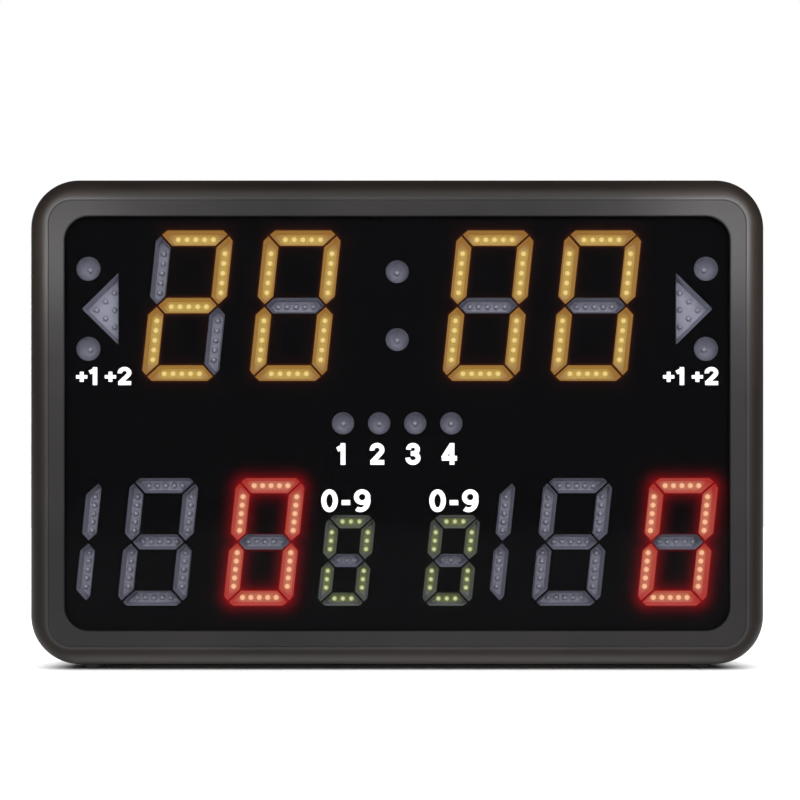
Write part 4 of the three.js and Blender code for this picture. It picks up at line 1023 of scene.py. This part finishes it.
def halo_points(wells, low, high):
    """Points over the mask: wide apart, closer round the red wells, and close by every lit well."""
    lit = [outline for outline, _, colour in wells if colour]
    red = [outline for outline, _, colour in wells if colour == "red"]
    out = []
    for step, reach, group in ((12.0, None, None), (3.2, HALO_REACH, red), (1.5, 3.5, lit)):
        xs = np.arange(low.x + MASK_EDGE, high.x - MASK_EDGE, step)
        zs = np.arange(low.z + MASK_EDGE, high.z - MASK_EDGE, step)
        grid = np.array([(x, z) for x in xs for z in zs])
        if group is not None:
            near = np.full(len(grid), np.inf)
            for outline in group:
                near = np.minimum(near, distance_to(grid, outline))
            grid = grid[near < reach]
        out.append(grid)
    return np.concatenate(out)


def mask(wells):
    """The black sheet with its windows, and the light that spills on it."""
    low, high = box_of("face_panel")
    every = [well for own in wells.values() for well in own]
    outline = frame_outline(FRAME_WIDTH - LENS_OVERLAP)
    holes = [[(inset(well, -MASK_ROUND), low.y), (well, low.y + MASK_ROUND), (well, high.y)]
             for well, _, _ in every]
    extra = halo_points(every, low, high)
    for rings in holes:
        extra = extra[~inside(extra, inset(rings[0][0], -MASK_CLEAR))]
    shape = plate([(outline, low.y), (outline, high.y)], holes, [tuple(p) for p in extra])
    obj = new_piece("face_mask", shape, 30)
    points = vertices_of(obj)
    glow = halo(points[:, (0, 2)], every)
    glow[points[:, 1] > low.y + 1] *= INNER_SHARE
    paint(obj, glow, np.ones((len(points), 3)))
    keep(obj, look_of("mask"), nodes=["face_panel"])


def band_of(points, width):
    """The outline of a stroke of that width along a path of points."""
    path = [Vector(p) for p in points]
    left, right = [], []
    for i, p in enumerate(path):
        ahead = (path[min(i + 1, len(path) - 1)] - path[max(i - 1, 0)]).normalized()
        side = Vector((-ahead.y, ahead.x)) * width / 2
        left.append(tuple(p + side))
        right.append(tuple(p - side))
    return left + right[::-1]


def glyph(character):
    """Strokes of a plain bold character, 1 high, with its width. Its numbers are shares of that height."""
    t = {"+": 0.19, "0": 0.2, "9": 0.2}.get(character, 0.22)
    h = t / 2
    characters = {
        "0": ([arc(0.33, 0.5, 0.23, 0.4, 0, 4, 32)], 0.66),
        "1": ([[(0.29, 0), (0.29, 1)], [(0.33, 0.93), (0.2, 0.79), (0.02, 0.7)]], 0.4),
        "2": ([[*arc(0.33, 0.69, 0.23, 0.21, 2.1, -0.42, 18), (0.12, 0.14)],
               [(0.02, h), (0.66, h)]], 0.67),
        "3": ([arc(0.32, 0.71, 0.21, 0.19, 2.05, -1, 16), arc(0.32, 0.31, 0.24, 0.21, 1, -2.05, 16),
               [(0.22, 0.52), (0.38, 0.52)]], 0.67),
        "4": ([[(0.47, 0), (0.47, 1)], [(0.0, 0.3), (0.7, 0.3)], [(0.46, 0.93), (0.06, 0.3)]], 0.7),
        "9": ([arc(0.33, 0.66, 0.23, 0.24, 0, 4, 28), arc(0.26, 0.5, 0.3, 0.4, 0.1, -1.35, 14)], 0.67),
        "+": ([[(0.0, 0.46), (0.56, 0.46)], [(0.28, 0.18), (0.28, 0.74)]], 0.56),
        "-": ([[(0.02, 0.42), (0.36, 0.42)]], 0.38),
        " ": ([], 0.2),
    }
    strokes, width = characters[character]
    return [band_of(stroke, t) for stroke in strokes], width


def filled(outlines):
    """Flat triangles that fill the outlines together, once where they overlap."""
    points, faces = [], []
    for outline in outlines:
        start = len(points)
        points += [Vector(p) for p in outline]
        quads = len(outline) // 2 - 1
        last = len(outline) - 1
        faces += [[start + last - i, start + last - i - 1, start + i + 1, start + i]
                  for i in range(quads)]
    flat, _, triangles, _, _, sources = delaunay_2d_cdt(points, [], faces, 1, TINY)
    return [tuple(p) for p in flat], [t for t, source in zip(triangles, sources) if source]


def printed(name, text, x, z, height, stretch=1.0, gap=0.13):
    """Plain white characters printed on the mask, centred on x, with their middle at z."""
    outlines = []
    pen = 0.0
    for character in text:
        strokes, width = glyph(character)
        outlines += [moved(stroke, pen, 0) for stroke in strokes]
        pen += width + gap
    placed = [[(x + (px - (pen - gap) / 2) * height * stretch, z + (pz - 0.5) * height)
               for px, pz in outline] for outline in outlines]
    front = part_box("face_panel")[0].y / MM
    return ink(name, placed, lambda px, pz: front, -1, "mask")


def ink(name, outlines, depth_at, side, slot, body="root"):
    """White print on a surface whose Y is depth_at(x, z), on its front (-1) or its rear (1)."""
    flat, triangles = filled(outlines)
    count = len(flat)
    verts = [(x, depth_at(x, z) + side * off, z) for off in (INK_DEPTH, INK_GAP) for x, z in flat]
    faces = [tuple(t) for t in triangles] + [tuple(i + count for i in t[::-1]) for t in triangles]
    edges = {}
    for t in triangles:
        for a, b in zip(t, (*t[1:], t[0])):
            edges[tuple(sorted((a, b)))] = edges.get(tuple(sorted((a, b))), 0) + 1
    faces += [(a, b, b + count, a + count) for (a, b), uses in edges.items() if uses == 1]
    return keep(new_piece(name, (verts, faces)), (WHITE_INK, slot), body)


def make_printing(wells):
    lamps = [np.mean(outline, 0) for outline, _, _ in wells["period_lamps"]]
    for i, (x, z) in enumerate(lamps):
        printed(f"numeral_{i + 1}", str(i + 1), x - NUMERAL_LEFT, z - NUMERAL_BELOW, NUMERAL_HEIGHT)
    for side in (-1, 1):
        for name, text, out, shift, *rest in MARKS:
            printed(f"{name}_{side + 2}", text, side * out + shift, *rest)


# The rear of the case and what is fixed to it

SLOTS = {part["node"]: part["material_slot"] for part in frame["record"]["subparts"]}
BODIES = {node: body for body, nodes in frame["record"]["behaviour"]["bodies"].items()
          for node in nodes}


def refined(node, width):
    """Stands for a node, with its edges rounded as a mould leaves them, and rubbed paler on some.

    Of the rear shell, only the edges of its rear face are rounded.
    """
    obj = keep(copied(node, f"{node}_body"), look_of(SLOTS[node]), BODIES[node], [node])
    obj.data.materials.append(RUBBED_EDGE if node in RUBBED else LOOKS[SLOTS[node]])
    bevelled(obj, width, box_of(node)[1].y - REAR_FACE if node == "rear_shell" else None)


def screw(node):
    """A pan-head screw with a cross recess."""
    low, high = box_of(node)
    x, z = centre_of(node)
    head, tall, rim = (high.x - low.x) / 2, 2.2, 0.6
    shank, point = 1.6, 0.7
    seat = high.y - tall
    crown = [(r, seat + rim + y) for r, y in arc(0, 0, head, tall - rim, 0, 1, 6)]
    profile = [(0, low.y), (point, low.y), (shank, low.y + shank), (shank, seat), (head, seat), *crown]
    obj = new_piece(f"{node}_body", revolved(profile, x, z), 30)
    thin, long, deep = 0.4, 1.7, 1.4
    cut_out(obj, [block(x - a, x + a, high.y - deep, high.y + 1, z - b, z + b)
                  for a, b in ((thin, long), (long, thin))])
    keep(obj, look_of(SLOTS[node]), BODIES[node], [node])


def rivets(node):
    """The two low round heads that hold a keyhole plate."""
    low, high = box_of(node)
    x, _ = centre_of(node)
    radius, crown, root = 2.6, 0.24, high.y - 1
    profile = [(0, root), (radius, root), (radius, high.y),
               *[(r, high.y + y) for r, y in arc(0, 0, radius, crown, 0, 1, 5)]]
    for name, z in (("lower", low.z + 5.6), ("upper", high.z - 6.4)):
        keep(new_piece(f"{node}_{name}_rivet", revolved(profile, x, z), 30), look_of(SLOTS[node]))


def surface_behind(obj):
    """Gives the Y of a piece's rear surface at (x, z), all in millimetres."""
    tree = BVHTree.FromObject(obj, bpy.context.evaluated_depsgraph_get())

    def depth_at(x, z):
        hit = tree.ray_cast(Vector((x * MM, 1, z * MM)), Vector((0, -1, 0)))
        return hit[0].y / MM
    return depth_at


def rocker_marks(rocker):
    """The usual bar and ring on the two halves of the rocker."""
    depth_at = surface_behind(rocker)
    low, high = box_of("switch_rocker")
    x, z = centre_of("switch_rocker")
    off = (high.z - low.z) / 4
    length, radius = 3.0, 1.4
    bar = band_of([(x, z - off + i * length / 6 - length / 2) for i in range(7)], 0.7)
    ring = band_of(arc(x, z + off, radius, radius, 0, 4, 28), 0.55)
    for name, outline in (("bar", bar), ("ring", ring)):
        ink(f"rocker_{name}_mark", [outline], depth_at, 1, "rocker", "rocker")


def socket_contacts():
    """Sprung contacts under the roof of the controller's socket."""
    rear = box_of("controller_socket")[1].y
    x, z = centre_of("controller_socket")
    roof, count, pitch, width = z + 4.2, 8, 1.15, 0.45
    side = [(rear - 11.5, roof), (rear - 11.5, roof - 0.5), (rear - 4.5, roof - 2.4),
            (rear - 3.9, roof - 2.0), (rear - 9.0, roof - 0.2), (rear - 9.0, roof)]
    shapes = [prism(side, x + (i - (count - 1) / 2) * pitch, width) for i in range(count)]
    keep(new_piece("socket_contacts", together(*shapes)), (GOLD, "steel"))


def inlet_pin():
    """The plated pin in the middle of the power inlet."""
    rear = box_of("power_inlet")[1].y
    x, z = centre_of("power_inlet")
    radius, foot, nose = 1.3, 1.22, 0.5
    root, neck = rear - 9.3, rear - 0.9 - nose
    profile = [(foot, root), (radius, root), (radius, neck),
               *[(r, neck + y) for r, y in arc(0, 0, radius, nose, 0, 1, 5)]]
    keep(new_piece("inlet_pin", revolved(profile, x, z, 24), 30), look_of("steel"))


# How far each node's edges are rounded, the nodes whose edges are rubbed pale, and the depth of the
# rear shell's rear face
ROUNDING = {
    0.2: ("power_inlet", "handle_pin_left", "handle_pin_right", "leg_pin_left", "leg_pin_right"),
    0.25: ("wall_plate_left", "wall_plate_right"),
    0.3: ("rear_shell", "switch_housing", "switch_rocker"),
    0.4: ("leg_tip_left", "leg_tip_right", "controller_socket",
          "foot_front_left", "foot_front_right", "foot_rear_left", "foot_rear_right"),
    0.5: ("leg_left", "leg_right", "carry_handle"),
}
RUBBED = ("rear_shell", "leg_left", "leg_right", "carry_handle")
REAR_FACE = 0.5


def make_rear():
    for width, nodes in ROUNDING.items():
        for node in nodes:
            refined(node, width)
    rocker_marks(bpy.data.objects["switch_rocker_body"])
    for side in ("left", "right"):
        rivets(f"wall_plate_{side}")
    for i in range(6):
        screw(f"case_screw_{i + 1}")
    socket_contacts()
    inlet_pin()


def dress_the_rest():
    """Materials for the CAD nodes that stay."""
    replaced = {n for o in bpy.data.objects for n in o.get("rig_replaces", [])}
    for node, slot in SLOTS.items():
        if node not in replaced:
            obj = frame["nodes"][node]
            obj.data.materials.clear()
            obj.data.materials.append(LOOKS[slot])


# Studio: its places and sizes are in metres, its powers in watts

def area_light(name, place, target, size, power):
    data = bpy.data.lights.new(name, "AREA")
    data.shape = "RECTANGLE"
    data.size, data.size_y = size
    data.energy = power
    obj = added(name, data)
    obj.location = place
    obj.rotation_euler = (Vector(target) - Vector(place)).to_track_quat("-Z", "Y").to_euler()
    return obj


def link_light(light, things, alone):
    """Lets a light fall on these things alone, or on everything but them."""
    group = bpy.data.collections.new(light.name + "_receivers")
    for thing in things:
        group.objects.link(thing)
    light.light_linking.receiver_collection = group
    if not alone:
        for member in group.collection_objects:
            member.light_linking.link_state = "EXCLUDE"


def backdrop_light(floor):
    """Even light from above that keeps the floor white, with the soft shadow of the case."""
    data = bpy.data.lights.new("floor_light", "SUN")
    data.energy = 6.0
    data.angle = math.radians(120)
    link_light(added("floor_light", data), [floor], True)


def sky():
    """White behind the object, and for its light dark ahead and brighter overhead."""
    world = bpy.data.worlds.new("studio")
    bpy.context.scene.world = world
    world.use_nodes = True
    nodes = world.node_tree.nodes
    white = nodes["Background"]
    path, place, split, rise, dim, mix = (nodes.new(f"ShaderNode{kind}") for kind in (
        "LightPath", "TexCoord", "SeparateXYZ", "MapRange", "Background", "MixShader"))
    for background in (white, dim):
        background.inputs["Color"].default_value = (1, 1, 1, 1)
    for key, value in (("From Min", 0.1), ("From Max", 0.8), ("To Min", 0.03), ("To Max", 0.2)):
        rise.inputs[key].default_value = value
    for output, target in ((place.outputs["Generated"], split.inputs[0]),
                           (split.outputs["Z"], rise.inputs["Value"]),
                           (rise.outputs["Result"], dim.inputs["Strength"]),
                           (path.outputs["Is Camera Ray"], mix.inputs[0]),
                           (dim.outputs[0], mix.inputs[1]),
                           (white.outputs[0], mix.inputs[2]),
                           (mix.outputs[0], nodes["World Output"].inputs["Surface"])):
        world.node_tree.links.new(output, target)


def studio():
    """A pale floor and five softboxes, which leave the floor and the clear sheet alone."""
    bpy.ops.mesh.primitive_plane_add(size=12, location=(0, 0, 0))
    floor = bpy.context.object
    floor.name = "floor"
    look = Look("floor", 0.9, specular=0.0)
    paper = look.noise(400, detail=4)
    look.colour(look.ramp(paper, (0.86, 0.86, 0.86), (0.9, 0.9, 0.9)))
    floor.data.materials.append(look.material)
    backdrop_light(floor)
    sky()
    middle = (0, 0, 0.2)
    boxes = [area_light("key", (0.1, -1.6, 1.3), middle, (1.9, 0.7), 28),
             area_light("right", (0.9, -1.7, 0.95), middle, (0.7, 0.8), 17),
             area_light("left", (-0.9, -1.7, 0.85), middle, (0.7, 0.8), 13),
             area_light("low", (0, -2.2, 0.14), middle, (2.4, 0.24), 26),
             area_light("rear", (-0.8, 2.1, 0.55), middle, (1.4, 0.9), 22)]
    for softbox in boxes:
        link_light(softbox, [floor, frame["nodes"]["lens"]], False)
    bpy.context.scene.view_settings.view_transform = "Standard"


def frame_lights(floor):
    """Lights on the frame alone: two near its upper corners, and the floor's glow on its lower edge.

    The floor doesn't shade them.
    """
    small, long = (0.08, 0.08), (0.62, 0.16)
    for name, place, target, size, power in (
            ("corner_left", (-0.29, -0.15, 0.35), (-0.29, 0, 0.37), small, 0.38),
            ("corner_right", (0.28, -0.15, 0.36), (0.28, 0, 0.37), small, 0.5),
            ("floor_glow", (0, -0.05, -0.12), (0, -0.05, 0), long, 0.9)):
        light = area_light(name, place, target, size, power)
        light.visible_camera = False
        light.data.cycles.max_bounces = 0
        link_light(light, [bpy.data.objects["front_frame"]], True)
        unshaded = bpy.data.collections.new(f"{name}_passes")
        unshaded.objects.link(floor)
        light.light_linking.blocker_collection = unshaded
        unshaded.collection_objects[0].light_linking.link_state = "EXCLUDE"


def camera():
    """At the photograph's viewing angle."""
    data = bpy.data.cameras.new("camera")
    data.sensor_width = 36
    data.lens = 76.75
    data.shift_x = 0.015
    data.shift_y = 0.119
    obj = added("camera", data)
    obj.location = (-0.0075, -1.428, 0.142)
    obj.rotation_euler = (math.radians(90), 0, 0)
    bpy.context.scene.camera = obj


camera()
studio()
WELLS = all_wells()
bezel()
frame_lights(bpy.data.objects["floor"])
mask(WELLS)
make_printing(WELLS)
make_display(WELLS)
make_rear()
dress_the_rest()
